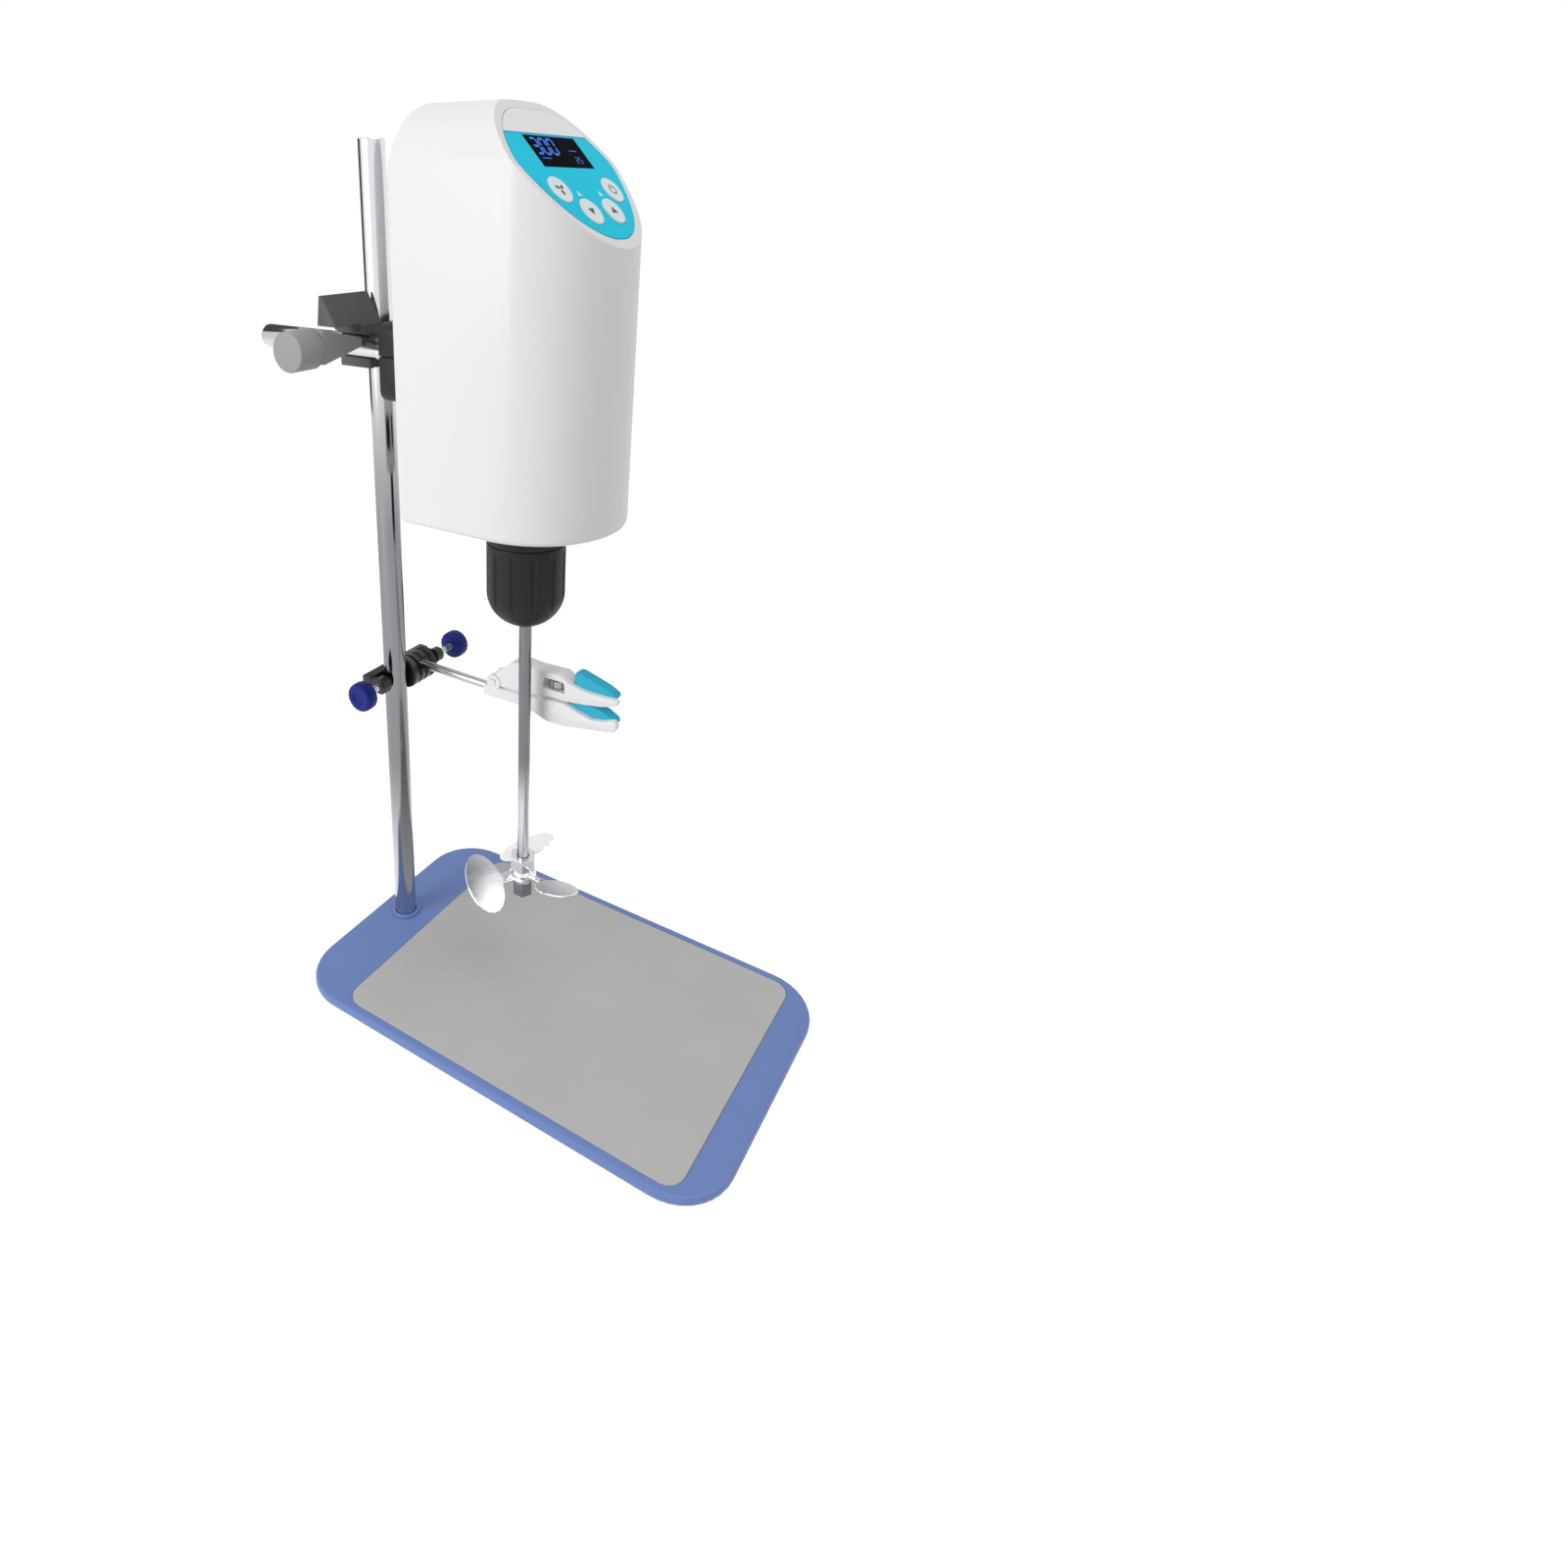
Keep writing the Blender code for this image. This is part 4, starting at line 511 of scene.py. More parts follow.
# %% A lathe for closed profiles
AXES = {
    "Z": Matrix.Identity(4),
    "Y": Matrix.Rotation(math.radians(-90), 4, "X"),
    "X": Matrix(((0, 0, 1, 0), (1, 0, 0, 0), (0, 1, 0, 0), (0, 0, 0, 1))),
}


def point(shape, radius, angle, height):
    """A point at a radius, an angle and a height, all lengths in millimetres."""
    return shape.verts.new((radius * MM * math.cos(angle), radius * MM * math.sin(angle),
                            height * MM))


def lathe(name, profile, axis, centre, finish, steps=96, ring=False):
    """Revolves (radius, height) in millimetres. A ring profile closes on itself."""
    shape = bmesh.new()
    rows = []
    for radius, height in profile:
        if radius < 1e-6:
            rows.append([shape.verts.new((0.0, 0.0, height * MM))])
        else:
            rows.append([point(shape, radius, 2 * math.pi * k / steps, height)
                         for k in range(steps)])
    pairs = list(zip(rows[:-1], rows[1:]))
    if ring:
        pairs.append((rows[-1], rows[0]))
    for upper, lower in pairs:
        for k in range(steps):
            n = (k + 1) % steps
            if len(upper) == 1:
                shape.faces.new((upper[0], lower[k], lower[n]))
            elif len(lower) == 1:
                shape.faces.new((upper[k], lower[0], upper[n]))
            else:
                shape.faces.new((upper[k], lower[k], lower[n], upper[n]))
    bmesh.ops.recalc_face_normals(shape, faces=shape.faces)
    place = Matrix.Translation(Vector(centre) * MM) @ AXES[axis]
    bmesh.ops.transform(shape, matrix=place, verts=shape.verts)
    return mesh_piece(name, shape, finish)


def rod_profile(radius, low, high, edge):
    """A plain bar with a rounded edge at both ends."""
    top = [(radius - edge + edge * math.sin(math.radians(a)),
            high - edge + edge * math.cos(math.radians(a))) for a in (0, 30, 60, 90)]
    bottom = [(r, low + high - z) for r, z in reversed(top)]
    return [(0, high)] + top + bottom + [(0, low)]


def span(node, axis):
    """The middle and the ends of a solid, in millimetres: centre, radius, low, high."""
    low, high = [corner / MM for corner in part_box(node)]
    along = "XYZ".index(axis)
    across = [i for i in range(3) if i != along]
    radius = (high[across[1]] - low[across[1]]) / 2
    centre = (low + high) / 2
    centre[along] = 0.0
    return centre, radius, low[along], high[along]


BARS = (
    # node, axis, finish, rounded edge in mm
    ("column", "Z", column_steel, 1.0), ("support_rod", "Y", chrome["Y"], 1.0),
    ("stirring_shaft", "Z", shaft_steel, 0.6), ("clamp_rod", "Y", rod_steel, 0.5),
    ("left_screw", "X", chrome["X"], 0.3), ("right_screw", "X", chrome["X"], 0.3),
)
BAR_STEPS = 72
for node, axis, finish, edge in BARS:
    centre, radius, low, high = span(node, axis)
    bar = lathe("turned_" + node, rod_profile(radius, low, high, edge), axis, centre, finish,
                BAR_STEPS)
    stand_for(bar, node)
print("bars:", len(BARS), "with", BAR_STEPS, "steps")


# %% [markdown]
# ## The chuck: flutes that follow a rule
# The turning sleeve of the chuck has twelve round flutes for the hand. Each flute is where an
# upright round cutter would bite into the sleeve. Geometry Nodes can work that out for every
# point from its angle, so one formula makes all twelve, and they fade out under the shoulder.

# %% Helpers for a Geometry Nodes tree
class Grower:
    """A Geometry Nodes tree with named inputs."""

    def __init__(self, name, inputs):
        self.tree = bpy.data.node_groups.new(name, "GeometryNodeTree")
        face = self.tree.interface
        face.new_socket(name="Geometry", in_out="INPUT", socket_type="NodeSocketGeometry")
        self.keys = {}
        for key, value in inputs.items():
            kind = "NodeSocketInt" if isinstance(value, int) else "NodeSocketFloat"
            socket = face.new_socket(name=key, in_out="INPUT", socket_type=kind)
            socket.default_value = value
            self.keys[key] = socket.identifier
        face.new_socket(name="Geometry", in_out="OUTPUT", socket_type="NodeSocketGeometry")
        self.source = self.tree.nodes.new("NodeGroupInput")
        self.sink = self.tree.nodes.new("NodeGroupOutput")

    def node(self, kind, settings=None, sockets=None):
        return add_node(self.tree, kind, settings, sockets)

    def value(self, key):
        return Term(self.tree, self.source.outputs[key])

    def vector(self, x=0.0, y=0.0, z=0.0):
        return self.node("ShaderNodeCombineXYZ", None, {0: x, 1: y, 2: z}).outputs[0]

    def place(self):
        """The three coordinates of each point, in metres."""
        position = self.node("GeometryNodeInputPosition").outputs[0]
        split = self.node("ShaderNodeSeparateXYZ", None, {0: position})
        return [Term(self.tree, socket) for socket in split.outputs]

    def move_points(self, position, material):
        """Ends a tree that only moves the points it is given."""
        shaped = self.node("GeometryNodeSetPosition", None, {
            "Geometry": self.source.outputs["Geometry"], "Position": position})
        self.end(shaped.outputs[0], material)

    def end(self, geometry, material):
        """Real mesh and a material close every tree."""
        real = self.node("GeometryNodeRealizeInstances", None, {"Geometry": geometry})
        dressed = self.node("GeometryNodeSetMaterial", None,
                            {"Geometry": real.outputs[0], "Material": material})
        self.tree.links.new(dressed.outputs[0], self.sink.inputs[0])

    def grow(self, piece, values):
        """Runs the tree on a piece and leaves a plain mesh."""
        growth = piece.modifiers.new("grow", "NODES")
        growth.node_group = self.tree
        for key, value in values.items():
            growth[self.keys[key]] = value
        bake_modifiers(piece)
        piece.data.shade_smooth()
        piece.data.set_sharp_from_angle(angle=math.radians(35))
        return piece


print("grower ready")

# %% The flute tree
def flute_tree(material):
    grower = Grower("flutes", {
        "Count": 12, "Sleeve radius": 0.0244, "Cutter radius": 0.0023, "Depth": 0.0011,
        "Centre Y": 0.03, "Low": 0.292, "High": 0.3365, "Fade": 0.0012})
    x, y, z = grower.place()
    middle = grower.value("Centre Y")
    y = y - middle
    radius = (x * x + y * y) ** 0.5
    angle = x.math("ARCTAN2", y, x)
    sector = 2 * math.pi / grower.value("Count")
    offset = x.math("FLOORED_MODULO", angle, sector) - sector * 0.5
    cutter = grower.value("Cutter radius")
    away = grower.value("Sleeve radius") + cutter - grower.value("Depth")
    side = x.math("SINE", offset) * away
    bite = x.math("MAXIMUM", cutter * cutter - side * side, 0.0) ** 0.5
    wall = x.math("COSINE", offset) * away - bite
    inside = x.math("ABSOLUTE", side) < cutter
    cut = x.math("MAXIMUM", radius - wall, 0.0) * inside
    from_end = x.math("MINIMUM", z - grower.value("Low"), grower.value("High") - z)
    fade = x.math("MINIMUM", x.math("MAXIMUM", from_end / grower.value("Fade"), 0.0), 1.0)
    factor = 1 - cut * fade / radius
    grower.move_points(grower.vector(x * factor, y * factor + middle, z), material)
    return grower


flutes = flute_tree(skin["black_plastic"].material)
print("flutes ready")

# %% The turning sleeve
NOSE, MOUTH, LIP = 22.5, 9.2, 0.6
MOUTH_WALL = 3.4
CONE_TIP, CONE_TOP = (12.8, 3.4), (16.3, 11.9)
FLUTE_LOW, FLUTE_TOP = 5.2, 3.6
WALL_ROWS, NOSE_ROWS = 16, 18
TOP_EDGE = 0.5


def end_rows(level, inward, steps):
    """Rows of a profile, each given by its radius and its depth behind an end face."""
    return [(radius, level + inward * depth) for radius, depth in steps]


_, sleeve_radius, sleeve_low, sleeve_high = span("chuck_sleeve", "Z")
CHUCK_Y = (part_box("chuck_sleeve")[0][1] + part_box("chuck_sleeve")[1][1]) / 2 / MM
chuck_centre = (0.0, CHUCK_Y, 0.0)
shoulder = sleeve_low + NOSE * math.sqrt(1 - ((MOUTH + LIP) / sleeve_radius) ** 2)
wall_top = sleeve_high - TOP_EDGE
rows = end_rows(sleeve_high, -1, [(sleeve_radius - TOP_EDGE, 0), (sleeve_radius - 0.15, 0.15),
                                  (sleeve_radius, TOP_EDGE)])
rows += [(sleeve_radius, wall_top - (wall_top - shoulder) * i / WALL_ROWS)
         for i in range(1, WALL_ROWS + 1)]
for i in range(1, NOSE_ROWS + 1):
    drop = (shoulder - sleeve_low) * math.sin(math.pi / 2 * i / NOSE_ROWS)
    rows.append((sleeve_radius * math.sqrt(1 - (drop / NOSE) ** 2), shoulder - drop))
rows += end_rows(sleeve_low, 1, [(MOUTH, 0), (MOUTH, MOUTH_WALL), CONE_TIP, CONE_TOP])
rows.append((CONE_TOP[0], sleeve_high))
sleeve = lathe("fluted_sleeve", rows, "Z", chuck_centre, skin["black_plastic"], 240, ring=True)
flutes.grow(sleeve, {
    "Centre Y": CHUCK_Y * MM, "Sleeve radius": sleeve_radius * MM,
    "Low": (sleeve_low + FLUTE_LOW) * MM, "High": (sleeve_high - FLUTE_TOP) * MM})
stand_for(sleeve, "chuck_sleeve")
print("sleeve:", len(sleeve.data.polygons), "faces")

# %% The upper half of the chuck
PART_LINE = 0.3
NECK, NECK_CONE, CONE_END = 16.0, 8.5, 12.5
JAW_ROOM, JAW_DEPTH = 9.3, 22.5
SHAFT_BORE, SHAFT_DEPTH = 4.3, 40.2
SPINDLE_BORE = 8.8
_, chuck_radius, chuck_low, chuck_high = span("chuck_body", "Z")
split_line = sleeve_high + PART_LINE
body_rows = end_rows(chuck_high, -1, [(chuck_radius - 1.0, 0), (chuck_radius - 0.3, 0.3),
                                      (chuck_radius, 1.0)])
body_rows += end_rows(split_line, 1, [(chuck_radius, 0.5), (chuck_radius - 0.15, 0.15),
                                      (chuck_radius - 0.5, 0), (NECK, 0)])
body_rows += end_rows(chuck_low, 1, [
    (NECK, NECK_CONE), (CONE_END, 0), (JAW_ROOM, 0), (JAW_ROOM, JAW_DEPTH),
    (SHAFT_BORE, JAW_DEPTH), (SHAFT_BORE, SHAFT_DEPTH), (SPINDLE_BORE, SHAFT_DEPTH)])
body_rows.append((SPINDLE_BORE, chuck_high))
chuck = lathe("turned_chuck_body", body_rows, "Z", chuck_centre, skin["black_plastic"], 128,
              ring=True)
stand_for(chuck, "chuck_body")
print("chuck:", round(chuck_high - sleeve_low, 1), "mm long")

# %% [markdown]
# ## Knobs and grips
# The two blue thumb knobs have twenty fine ribs for the fingers. A plain turned disc is pushed in
# by a cosine of its angle, again in Geometry Nodes. The push grows with the cube of the distance
# from the hub, so the middle stays flat. The grips of the clamping screws are plain turned bars.

# %% Ribbed knobs
def rib_tree(material):
    grower = Grower("ribs", {
        "Count": 20, "Depth": 0.0004, "Radius": 0.0093, "Centre Y": 0.14, "Centre Z": 0.21})
    x, y, z = grower.place()
    y = y - grower.value("Centre Y")
    z = z - grower.value("Centre Z")
    radius = (y * y + z * z) ** 0.5
    angle = x.math("ARCTAN2", z, y)
    wave = 0.5 - x.math("COSINE", angle * grower.value("Count")) * 0.5
    reach = x.math("MINIMUM", radius / grower.value("Radius"), 1.0)
    factor = 1 - wave * grower.value("Depth") / grower.value("Radius") * (reach ** 3)
    moved = grower.vector(x, y * factor + grower.value("Centre Y"),
                          z * factor + grower.value("Centre Z"))
    grower.move_points(moved, material)
    return grower


def ends_of(node, outward):
    """Centre, radius, outer end and inner end of a knob or grip that looks along X."""
    centre, radius, low, high = span(node, "X")
    return (centre, radius, high, low) if outward > 0 else (centre, radius, low, high)


ribs = rib_tree(skin["blue_knob"].material)
for node, outward in (("left_knob", -1), ("right_knob", 1)):
    centre, radius, outer, inner = ends_of(node, outward)
    knob_rows = end_rows(outer, -outward, [
        (0, 0.9), (4.2, 0.9), (4.8, 0.3), (5.4, 0), (radius - 1.4, 0), (radius - 0.5, 0.4),
        (radius, 1.4)])
    knob_rows.append((radius, (outer + inner) / 2))
    knob_rows += end_rows(inner, outward, [
        (radius, 1.4), (radius - 0.5, 0.4), (radius - 1.4, 0), (4.4, 0), (3.6, 0.6), (2.8, 0.6),
        (2.8, 5.0), (0, 5.0)])
    knob = lathe("lobed_" + node, knob_rows, "X", centre, skin["blue_knob"], 128)
    ribs.grow(knob, {"Centre Y": centre[1] * MM, "Centre Z": centre[2] * MM,
                     "Radius": radius * MM})
    stand_for(knob, node)
print("knobs: 2, with 20 ribs each")

# %% Grips of the two clamping screws
HOLE, HOLE_DEPTH = 3.3, 8.3
for node, outward in (("rod_grip", -1), ("lock_grip", 1)):
    centre, radius, outer, inner = ends_of(node, outward)
    grip_rows = end_rows(outer, -outward, [
        (0, 0), (radius - 1.0, 0), (radius - 0.3, 0.25), (radius, 0.9)])
    grip_rows += end_rows(inner, outward, [
        (radius, 0.6), (radius - 0.2, 0.15), (radius - 0.6, 0), (HOLE, 0), (HOLE, HOLE_DEPTH),
        (0, HOLE_DEPTH)])
    grip = lathe("turned_" + node, grip_rows, "X", centre, skin["grey_casting"])
    stand_for(grip, node)
print("grips: 2")

# %% Buttons, collar and setting wheel
BUTTONS = ("button_left", "button_lower_left", "button_lower_right", "button_right")
COLLAR_BORE = 8.3
for node in BUTTONS:
    welded(node, skin["white_key"], smooth_angle=20)
centre, radius, low, high = span("column_collar", "Z")
collar_rows = end_rows(high, -1, [(radius - 0.8, 0), (radius - 0.2, 0.2), (radius, 0.8)])
collar_rows += [(radius, low), (COLLAR_BORE, low), (COLLAR_BORE, high)]
collar = lathe("turned_collar", collar_rows, "Z", centre, skin["blue_paint"], ring=True)
stand_for(collar, "column_collar")
welded("setting_screw", steel["Z"])
print("buttons:", len(BUTTONS), "and the collar and the setting wheel")

# %% [markdown]
# ## Screw threads and screw heads
# A thread is a small ridge swept along a spiral. One tree draws it for any screw: the number of
# turns is the length divided by the pitch. The heads of the fixing screws are one small
# head, repeated on a few points.

# %% The thread tree
def thread_tree(material):
    grower = Grower("thread", {
        "Radius": 0.0025, "Pitch": 0.0008, "Length": 0.01, "Ridge": 0.0002, "Turn Y": 0.0,
        "X": 0.0, "Y": 0.0, "Z": 0.0})
    spiral = grower.node("GeometryNodeCurveSpiral", None, {
        "Resolution": 24, "Rotations": grower.value("Length") / grower.value("Pitch"),
        "Start Radius": grower.value("Radius"), "End Radius": grower.value("Radius"),
        "Height": grower.value("Length")})
    ridge = grower.node("GeometryNodeCurvePrimitiveCircle", None, {
        "Resolution": 4, "Radius": grower.value("Ridge")})
    swept = grower.node("GeometryNodeCurveToMesh", None, {
        "Curve": spiral.outputs[0], "Profile Curve": ridge.outputs[0], "Fill Caps": True})
    placed = grower.node("GeometryNodeTransform", None, {
        "Geometry": swept.outputs[0], "Rotation": grower.vector(y=grower.value("Turn Y")),
        "Translation": grower.vector(*[grower.value(axis) for axis in "XYZ"])})
    grower.end(placed.outputs[0], material)
    return grower


def empty_piece(name):
    return to_scene(name, bpy.data.meshes.new(name))


def beside(node, end):
    """Half a millimetre clear of a knob or grip, at its low (0) or high (1) end along X."""
    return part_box(node)[end][0] / MM + (0.5 if end else -0.5)


threads = {axis: thread_tree(steel[axis].material) for axis in "XZ"}
THREADS = (
    # piece, node it belongs to, axis, from, to, and the core's radius if not the solid's own
    ("thread_left", "left_screw", "X", beside("left_knob", 1), -12.5, None),
    ("thread_right", "right_screw", "X", 44.0, beside("right_knob", 0), None),
    ("thread_lock", "lock_screw", "X", 9.0, beside("lock_grip", 0), None),
    ("thread_rod", "rod_screw", "X", beside("rod_grip", 1), -31.0, None),
    ("thread_setter", "setting_screw", "Z", 229.0, 237.0, 2.4),
)
SUNK = 0.1
for name, node, axis, start, stop, core in THREADS:
    centre, radius, low, high = span(node, axis)
    spot = list(centre)
    spot["XYZ".index(axis)] = start
    thread = empty_piece(name)
    threads[axis].grow(thread, {
        "Radius": ((core or radius) - SUNK) * MM, "Length": (stop - start) * MM,
        "Turn Y": math.pi / 2 if axis == "X" else 0.0,
        "X": spot[0] * MM, "Y": spot[1] * MM, "Z": spot[2] * MM})
    join_body(thread, node)
    print(name, len(thread.data.polygons), "faces")

# %% A socket head, and the tree that repeats it
def socket_head(radius, height, finish):
    """A low cylinder head with a hexagon socket, looking along +Z."""
    shape = bmesh.new()
    steps = 36
    hexagon = radius * 0.5
    profile = ((radius, 0.0, False), (radius, height * 0.8, False), (radius * 0.9, height, False),
               (hexagon, height, True), (hexagon, height * 0.25, True))
    rows = []
    for size, level, hexed in profile:
        row = []
        for k in range(steps):
            angle = 2 * math.pi * k / steps
            side = math.cos(math.pi / 6) / math.cos(angle % (math.pi / 3) - math.pi / 6)
            row.append(point(shape, size * side if hexed else size, angle, level))
        rows.append(row)
    for lower, upper in zip(rows[:-1], rows[1:]):
        for k in range(steps):
            n = (k + 1) % steps
            shape.faces.new((lower[k], lower[n], upper[n], upper[k]))
    shape.faces.new(rows[-1])
    shape.faces.new(rows[0][::-1])
    return mesh_piece("socket_head", shape, finish)


def head_tree(head, material):
    grower = Grower("screw_heads", {"Turn X": 0.0, "Scale": 1.0})
    made = grower.node("GeometryNodeObjectInfo", None, {"Object": head})
    spread = grower.node("GeometryNodeInstanceOnPoints", None, {
        "Points": grower.source.outputs["Geometry"], "Instance": made.outputs["Geometry"],
        "Rotation": grower.vector(grower.value("Turn X")),
        "Scale": grower.vector(*[grower.value("Scale")] * 3)})
    grower.end(spread.outputs[0], material)
    return grower


def screw_row(name, node, spots, turn, size):
    piece = empty_piece(name)
    piece.data.from_pydata([Vector(spot) * MM for spot in spots], [], [])
    heads.grow(piece, {"Scale": size, "Turn X": turn})
    return join_body(piece, node)


HEAD_RADIUS, HEAD_HEIGHT = 2.6, 1.5
INSET = 9
head = socket_head(HEAD_RADIUS, HEAD_HEIGHT, steel["Z"])
heads = head_tree(head, steel["Y"].material)
mount_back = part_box("mount_upper")[1][1] / MM
mount_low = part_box("mount_lower")[0] / MM
mount_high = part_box("mount_upper")[1] / MM
corners = [(x, mount_back, z) for x in (mount_low[0] + INSET, mount_high[0] - INSET)
           for z in (mount_low[2] + INSET, mount_high[2] - INSET)]
screw_row("mount_screws", "mount_upper", corners, -math.pi / 2, 1.0)
floor_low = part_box("housing_floor")[0][2] / MM
under = [(x, y, floor_low) for x, y in ((-36, 68), (36, 68), (-33, 10), (33, 10))]
screw_row("floor_screws", "housing_floor", under, math.pi, 0.8)
bpy.data.objects.remove(head)
print("screw heads:", len(corners), "behind,", len(under), "below")

# %% [markdown]
# ## Print on the panel and figures in the window
# The print lies on its film as a skin a few hundredths of a millimetre thick. Each mark is drawn
# as a flat outline in the panel's own axes, then raised a little and laid on the slope. The
# window shows a plain number in seven-bar figures, as such displays do.

# %% Outlines raised on the panel
WINDOW_TOP, KEY_TOP, FILM_TOP = 0.1, 0.8, 0.2
INK = 0.03
SEATED = 0.01


def raised(name, outlines, low, high, finish, centre=(0.0, 0.0)):
    """Flat outlines in panel millimetres become thin plates on the slope."""
    shape = bmesh.new()
    for outline in outlines:
        points = [(x + centre[0], y + centre[1]) for x, y in outline]
        floor = [shape.verts.new((x * MM, y * MM, low * MM)) for x, y in points]
        roof = [shape.verts.new((x * MM, y * MM, high * MM)) for x, y in points]
        shape.faces.new(roof)
        shape.faces.new(floor[::-1])
        for k in range(len(points)):
            n = (k + 1) % len(points)
            shape.faces.new((floor[k], floor[n], roof[n], roof[k]))
    bmesh.ops.recalc_face_normals(shape, faces=shape.faces)
    bmesh.ops.transform(shape, matrix=PANEL, verts=shape.verts)
    return mesh_piece(name, shape, finish)


print("print is", INK, "mm thick")

# %% Seven-bar figures in the window
LIT_BARS = {"0": "abcdef", "2": "abdeg", "3": "abcdg", "5": "acdfg"}
BAR_OUTLINE = ((0.06, 0), (0.16, 1), (0.84, 1), (0.94, 0), (0.84, -1), (0.16, -1))
FIGURE_WIDTH, BAR_THICKNESS, LEAN = 0.52, 0.075, 0.10


def figure(sign, x, y, height):
    """The bars of one figure, its lower left corner at x, y."""
    width, half, thick = height * FIGURE_WIDTH, height / 2, height * BAR_THICKNESS
    ends = {"a": ((0, height), (width, height)), "b": ((width, half), (width, height)),
            "c": ((width, 0), (width, half)), "d": ((0, 0), (width, 0)),
            "e": ((0, 0), (0, half)), "f": ((0, half), (0, height)),
            "g": ((0, half), (width, half))}
    made = []
    for key in LIT_BARS[sign]:
        (x0, y0), (x1, y1) = ends[key]
        length = math.hypot(x1 - x0, y1 - y0)
        ux, uy = (x1 - x0) / length, (y1 - y0) / length
        bar = []
        for along, out in BAR_OUTLINE:
            px = x0 + ux * length * along - uy * thick * out
            py = y0 + uy * length * along + ux * thick * out
            bar.append((x + px + py * LEAN, y + py))
        made.append(bar)
    return made


number = []
for k, sign in enumerate("300"):
    number += figure(sign, -21.0 + k * 7.4, 1.6, 9.8)
small = []
for k, sign in enumerate("25"):
    small += figure(sign, 11.5 + k * 3.4, -3.6, 3.8)
small += [[(-20.2, -1.6), (-12.0, -1.6), (-12.0, -1.0), (-20.2, -1.0)],
          [(10.8, 4.2), (18.0, 4.2), (18.0, 4.7), (10.8, 4.7)]]
for name, outlines in (("lit_number", number), ("lit_small_figures", small)):
    join_body(raised(name, outlines, WINDOW_TOP, WINDOW_TOP + INK, lit_blue), "display_window")
print("window shows 300 and 25")

# %% Marks on the buttons and beside them
def arc(radius, first, sweep, count=20):
    return [(radius * math.cos(math.radians(first + sweep * k / count)),
             radius * math.sin(math.radians(first + sweep * k / count)))
            for k in range(count + 1)]


def leaf(angle):
    """One blade of the little propeller mark."""
    turn = math.radians(angle)
    points = [(2.2 + 1.7 * math.cos(math.radians(a)), 1.1 * math.sin(math.radians(a)))
              for a in range(0, 360, 20)]
    return [(x * math.cos(turn) - y * math.sin(turn), x * math.sin(turn) + y * math.cos(turn))
            for x, y in points]


power_ring = arc(3.1, 120, 300) + arc(2.3, 120, 300)[::-1]
power_stroke = [(-0.4, 0.6), (0.4, 0.6), (0.4, 3.6), (-0.4, 3.6)]
MARKS = {
    # key, its middle on the panel, the outlines of its mark
    "button_left": ((-26.1, -21.6), [leaf(30), leaf(150), leaf(270)]),
    "button_lower_left": ((-11.2, -35.5), [[(-2.9, 1.6), (2.9, 1.6), (0, -2.7)]]),
    "button_lower_right": ((11.2, -35.5), [[(-2.9, -1.6), (0, 2.7), (2.9, -1.6)]]),
    "button_right": ((26.1, -21.6), [power_ring, power_stroke]),
}
for node, (centre, outlines) in MARKS.items():
    mark = raised("mark_" + node, outlines, KEY_TOP - SEATED, KEY_TOP + INK, skin["dark_print"],
                  centre)
    join_body(mark, node)
triangles = [[(x - 2.0, -25.4), (x + 2.0, -25.4), (x, -21.9)] for x in (-10.7, 10.7)]
mark = raised("mark_triangles", triangles, FILM_TOP - SEATED, FILM_TOP + INK, skin["pale_print"])
join_body(mark, "panel_fascia")
print("marks:", len(MARKS) + 1)

# %% [markdown]
# ## Floor, world and lamps
# The photograph stands on plain white. The world gives soft light from all round and is white
# to the eye and in reflections. The floor stays a real surface that takes the shadow. A key lamp
# at the left, a little behind, lights the flat side of the head and leaves its round front in
# shade. A broad lamp overhead lights the plate, and a weak one in front opens the shade.

# %% The floor and the world
FLOOR_TONE = 0.82
AMBIENT = 0.38
FLOOR_WHITE = 1.02


def shown_to_eye(tree):
    """One for rays from the camera, a mirror or glass, nought for rays that light the object."""
    path = tree.nodes.new("ShaderNodeLightPath")
    seen, mirrored, through = [Term(tree, path.outputs[key]) for key in
                               ("Is Camera Ray", "Is Glossy Ray", "Is Transmission Ray")]
    return seen.math("MAXIMUM", seen, seen.math("MAXIMUM", mirrored, through))


floor_material = bpy.data.materials.new("floor_white")
floor_material.use_nodes = True
floor_tree = floor_material.node_tree
floor_tree.nodes.clear()
matt = add_node(floor_tree, "ShaderNodeBsdfDiffuse", None,
                {"Color": (FLOOR_TONE, FLOOR_TONE, FLOOR_TONE, 1)})
lit = add_node(floor_tree, "ShaderNodeEmission", None, {
    "Color": (1, 1, 1, 1),
    "Strength": shown_to_eye(floor_tree) * (FLOOR_WHITE - FLOOR_TONE * AMBIENT)})
both = add_node(floor_tree, "ShaderNodeAddShader", None, {0: matt.outputs[0], 1: lit.outputs[0]})
add_node(floor_tree, "ShaderNodeOutputMaterial", None, {0: both.outputs[0]})
bpy.ops.mesh.primitive_plane_add(size=12.0, location=(0, 0, 0))
floor = bpy.context.active_object
floor.name = "floor"
floor.data.materials.append(floor_material)

world = bpy.data.worlds.new("studio")
bpy.context.scene.world = world
world.use_nodes = True
world_tree = world.node_tree
world_tree.nodes.clear()
sky = add_node(world_tree, "ShaderNodeBackground", None, {
    "Color": (1, 1, 1, 1), "Strength": AMBIENT + shown_to_eye(world_tree) * (1 - AMBIENT)})
add_node(world_tree, "ShaderNodeOutputWorld", None, {0: sky.outputs[0]})
print("floor and world ready")

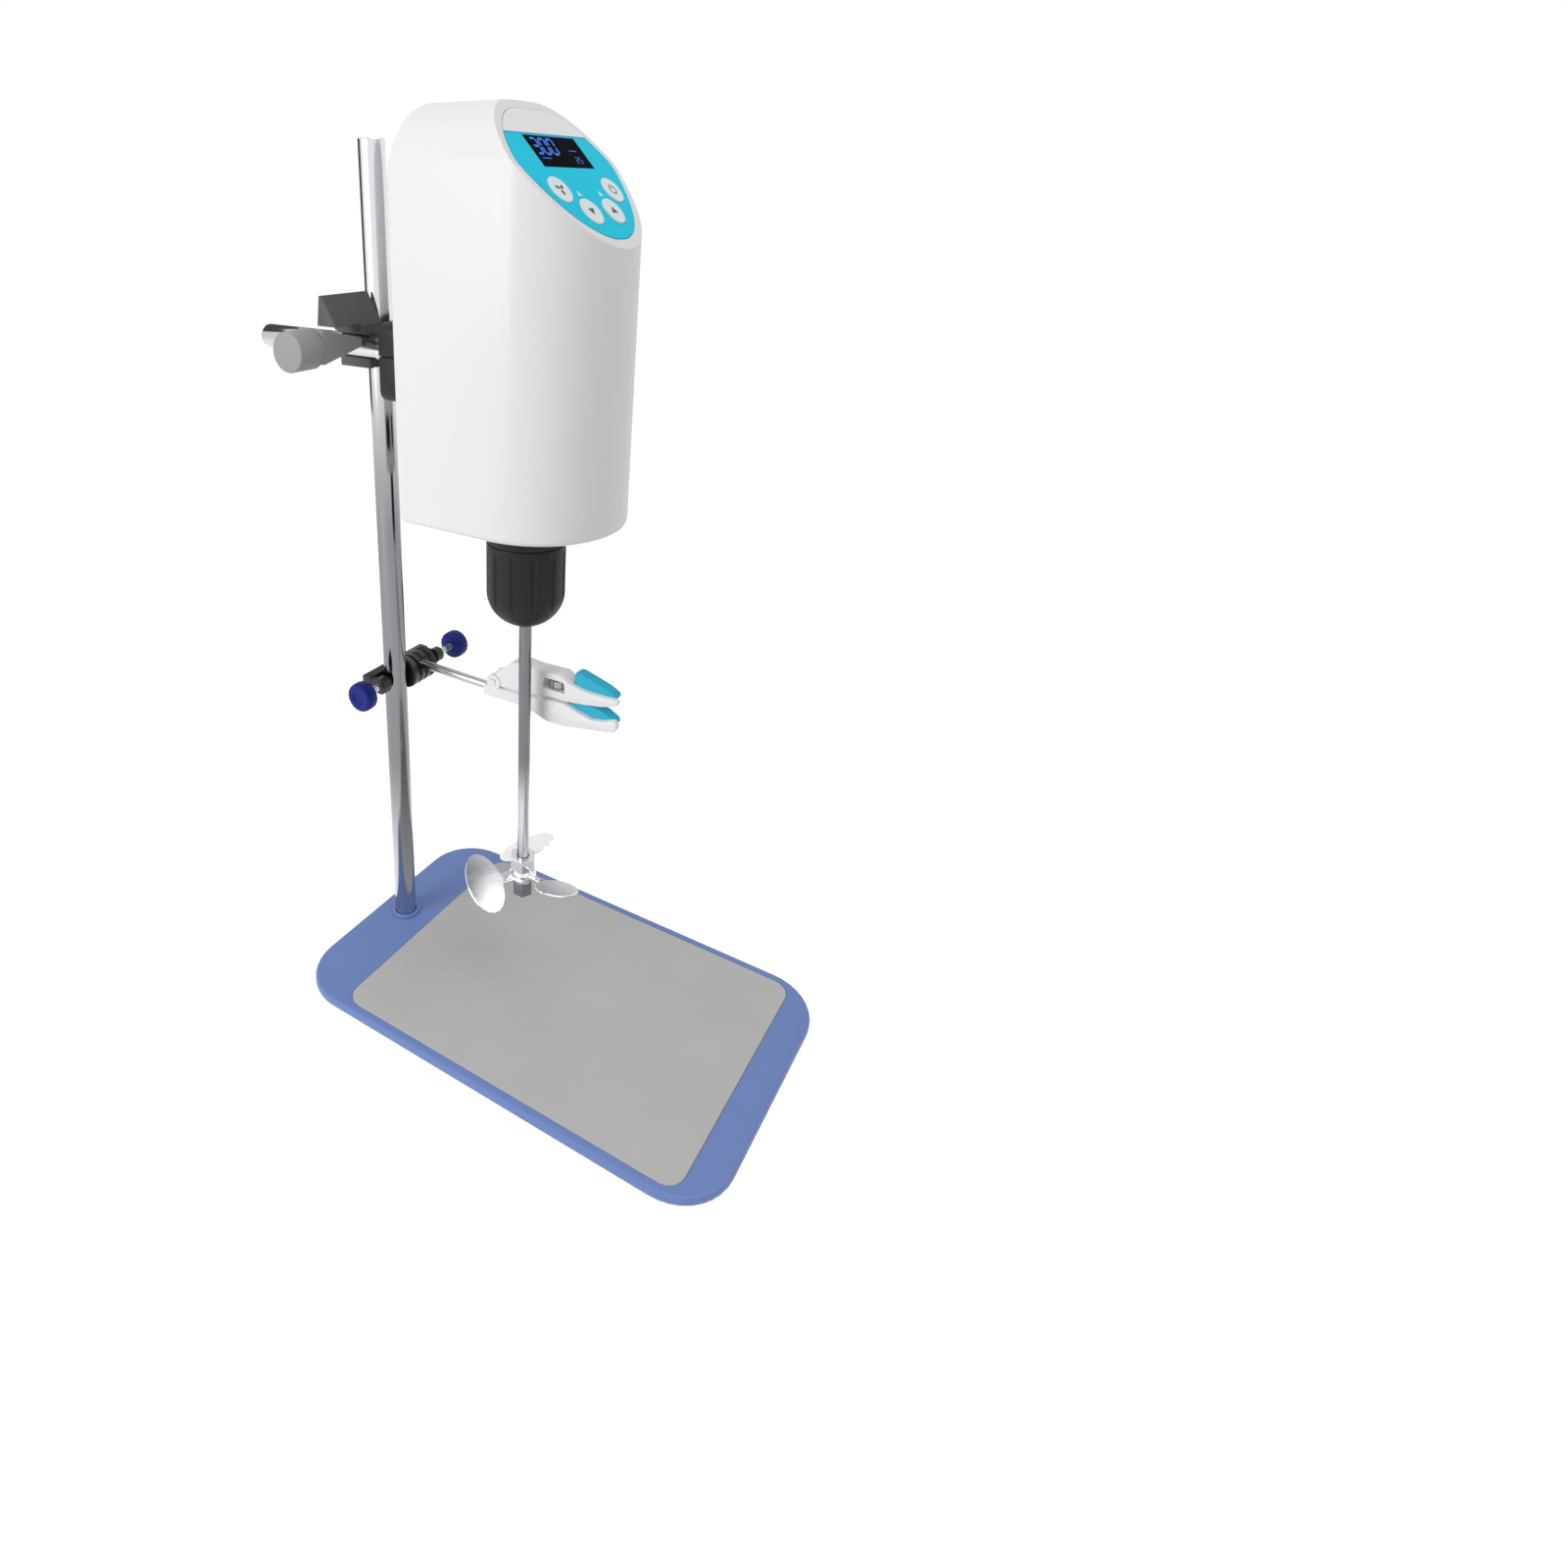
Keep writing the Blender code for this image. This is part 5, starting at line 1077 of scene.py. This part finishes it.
# %% Lamps
LAMPS = (
    # name, place, aim, width, watts
    ("key_lamp", (-1.20, 0.55, 0.75), (0, 0.05, 0.35), 0.8, 9.2),
    ("top_lamp", (0.0, -0.45, 1.68), (0, 0.0, 0.35), 1.4, 4.8),
    ("front_lamp", (0.0, -0.95, 1.30), (0, 0.0, 0.35), 1.2, 1.6),
)
for name, place, aim, width, watts in LAMPS:
    lamp = bpy.data.lights.new(name, "AREA")
    lamp.shape = "DISK"
    lamp.size = width
    lamp.energy = watts
    holder = to_scene(name, lamp)
    holder.location = place
    holder.rotation_euler = (Vector(aim) - Vector(place)).to_track_quat("-Z", "Y").to_euler()
print("lamps:", len(LAMPS))

# %% [markdown]
# ## Dark cards for the steel to mirror
# A photographer of shiny bars stands dark cards just outside the picture, because a mirror in an
# all-white room has no edges. One card behind the column draws the thin dark line along its
# side, and a low one on the right gives the far blade its grey face. Only mirror rays see them.

# %% Dark cards
CARDS = (
    # name, middle, width, height, tone
    ("column_card", (0.09, 0.46, 0.50), 0.46, 0.30, 0.05),
    ("blade_card", (0.47, 0.21, 0.055), 0.60, 0.10, 0.12),
)
for name, middle, width, height, tone in CARDS:
    card_material = bpy.data.materials.new(name)
    card_material.use_nodes = True
    card_shader = card_material.node_tree.nodes["Principled BSDF"]
    card_shader.inputs["Base Color"].default_value = (tone, tone, tone, 1)
    middle = Vector(middle)
    facing = Vector((middle.x, middle.y, 0.0)).to_track_quat("Z", "Y").to_matrix().to_4x4()
    size = Matrix.Diagonal((width, height, 1.0, 1.0))
    shape = bmesh.new()
    bmesh.ops.create_grid(shape, x_segments=1, y_segments=1, size=0.5,
                          matrix=Matrix.Translation(middle) @ facing @ size)
    mesh = bpy.data.meshes.new(name)
    shape.to_mesh(mesh)
    shape.free()
    mesh.materials.append(card_material)
    card = to_scene(name, mesh)
    for sight in ("visible_camera", "visible_diffuse", "visible_transmission", "visible_shadow"):
        setattr(card, sight, False)
    print(name, [tuple(round(c, 2) for c in v.co) for v in mesh.vertices])

# %% [markdown]
# ## The camera
# The photograph was matched with a camera of its own: its place, its turn and its lens follow
# from the edges of the plate and the sides of the column. The picture is a part of a larger
# white field, so the optical axis isn't at its centre, and a shift takes that up.

# %% Camera
AZIMUTH = math.radians(-55.876)
ELEVATION = math.radians(21.957)
ROLL = math.radians(0.379)
CAMERA_PLACE = (-464.8, -278.2, 534.3 + LIFT)
FOCAL_PIXELS = 995.37
AXIS_PIXEL = (527.28, 597.21)
FRAME_PIXELS = 1600
SENSOR = 36.0
backward = Vector((math.sin(AZIMUTH) * math.cos(ELEVATION),
                   -math.cos(AZIMUTH) * math.cos(ELEVATION), math.sin(ELEVATION)))
level_right = (-backward).cross(Vector((0, 0, 1))).normalized()
level_up = level_right.cross(-backward)
right = level_right * math.cos(ROLL) + level_up * math.sin(ROLL)
up = level_up * math.cos(ROLL) - level_right * math.sin(ROLL)
lens = bpy.data.cameras.new("camera")
lens.sensor_width = SENSOR
lens.lens = SENSOR * FOCAL_PIXELS / FRAME_PIXELS
lens.shift_x = (FRAME_PIXELS / 2 - AXIS_PIXEL[0]) / FRAME_PIXELS
lens.shift_y = (AXIS_PIXEL[1] - FRAME_PIXELS / 2) / FRAME_PIXELS
lens.clip_start = 0.01
camera = to_scene("camera", lens)
turn = Matrix((right, up, backward)).transposed().to_4x4()
camera.matrix_world = Matrix.Translation(Vector(CAMERA_PLACE) * MM) @ turn
bpy.context.scene.camera = camera
bpy.context.scene.view_settings.view_transform = "Standard"
print("lens:", round(lens.lens, 2), "mm, shift", round(lens.shift_x, 3), round(lens.shift_y, 3))
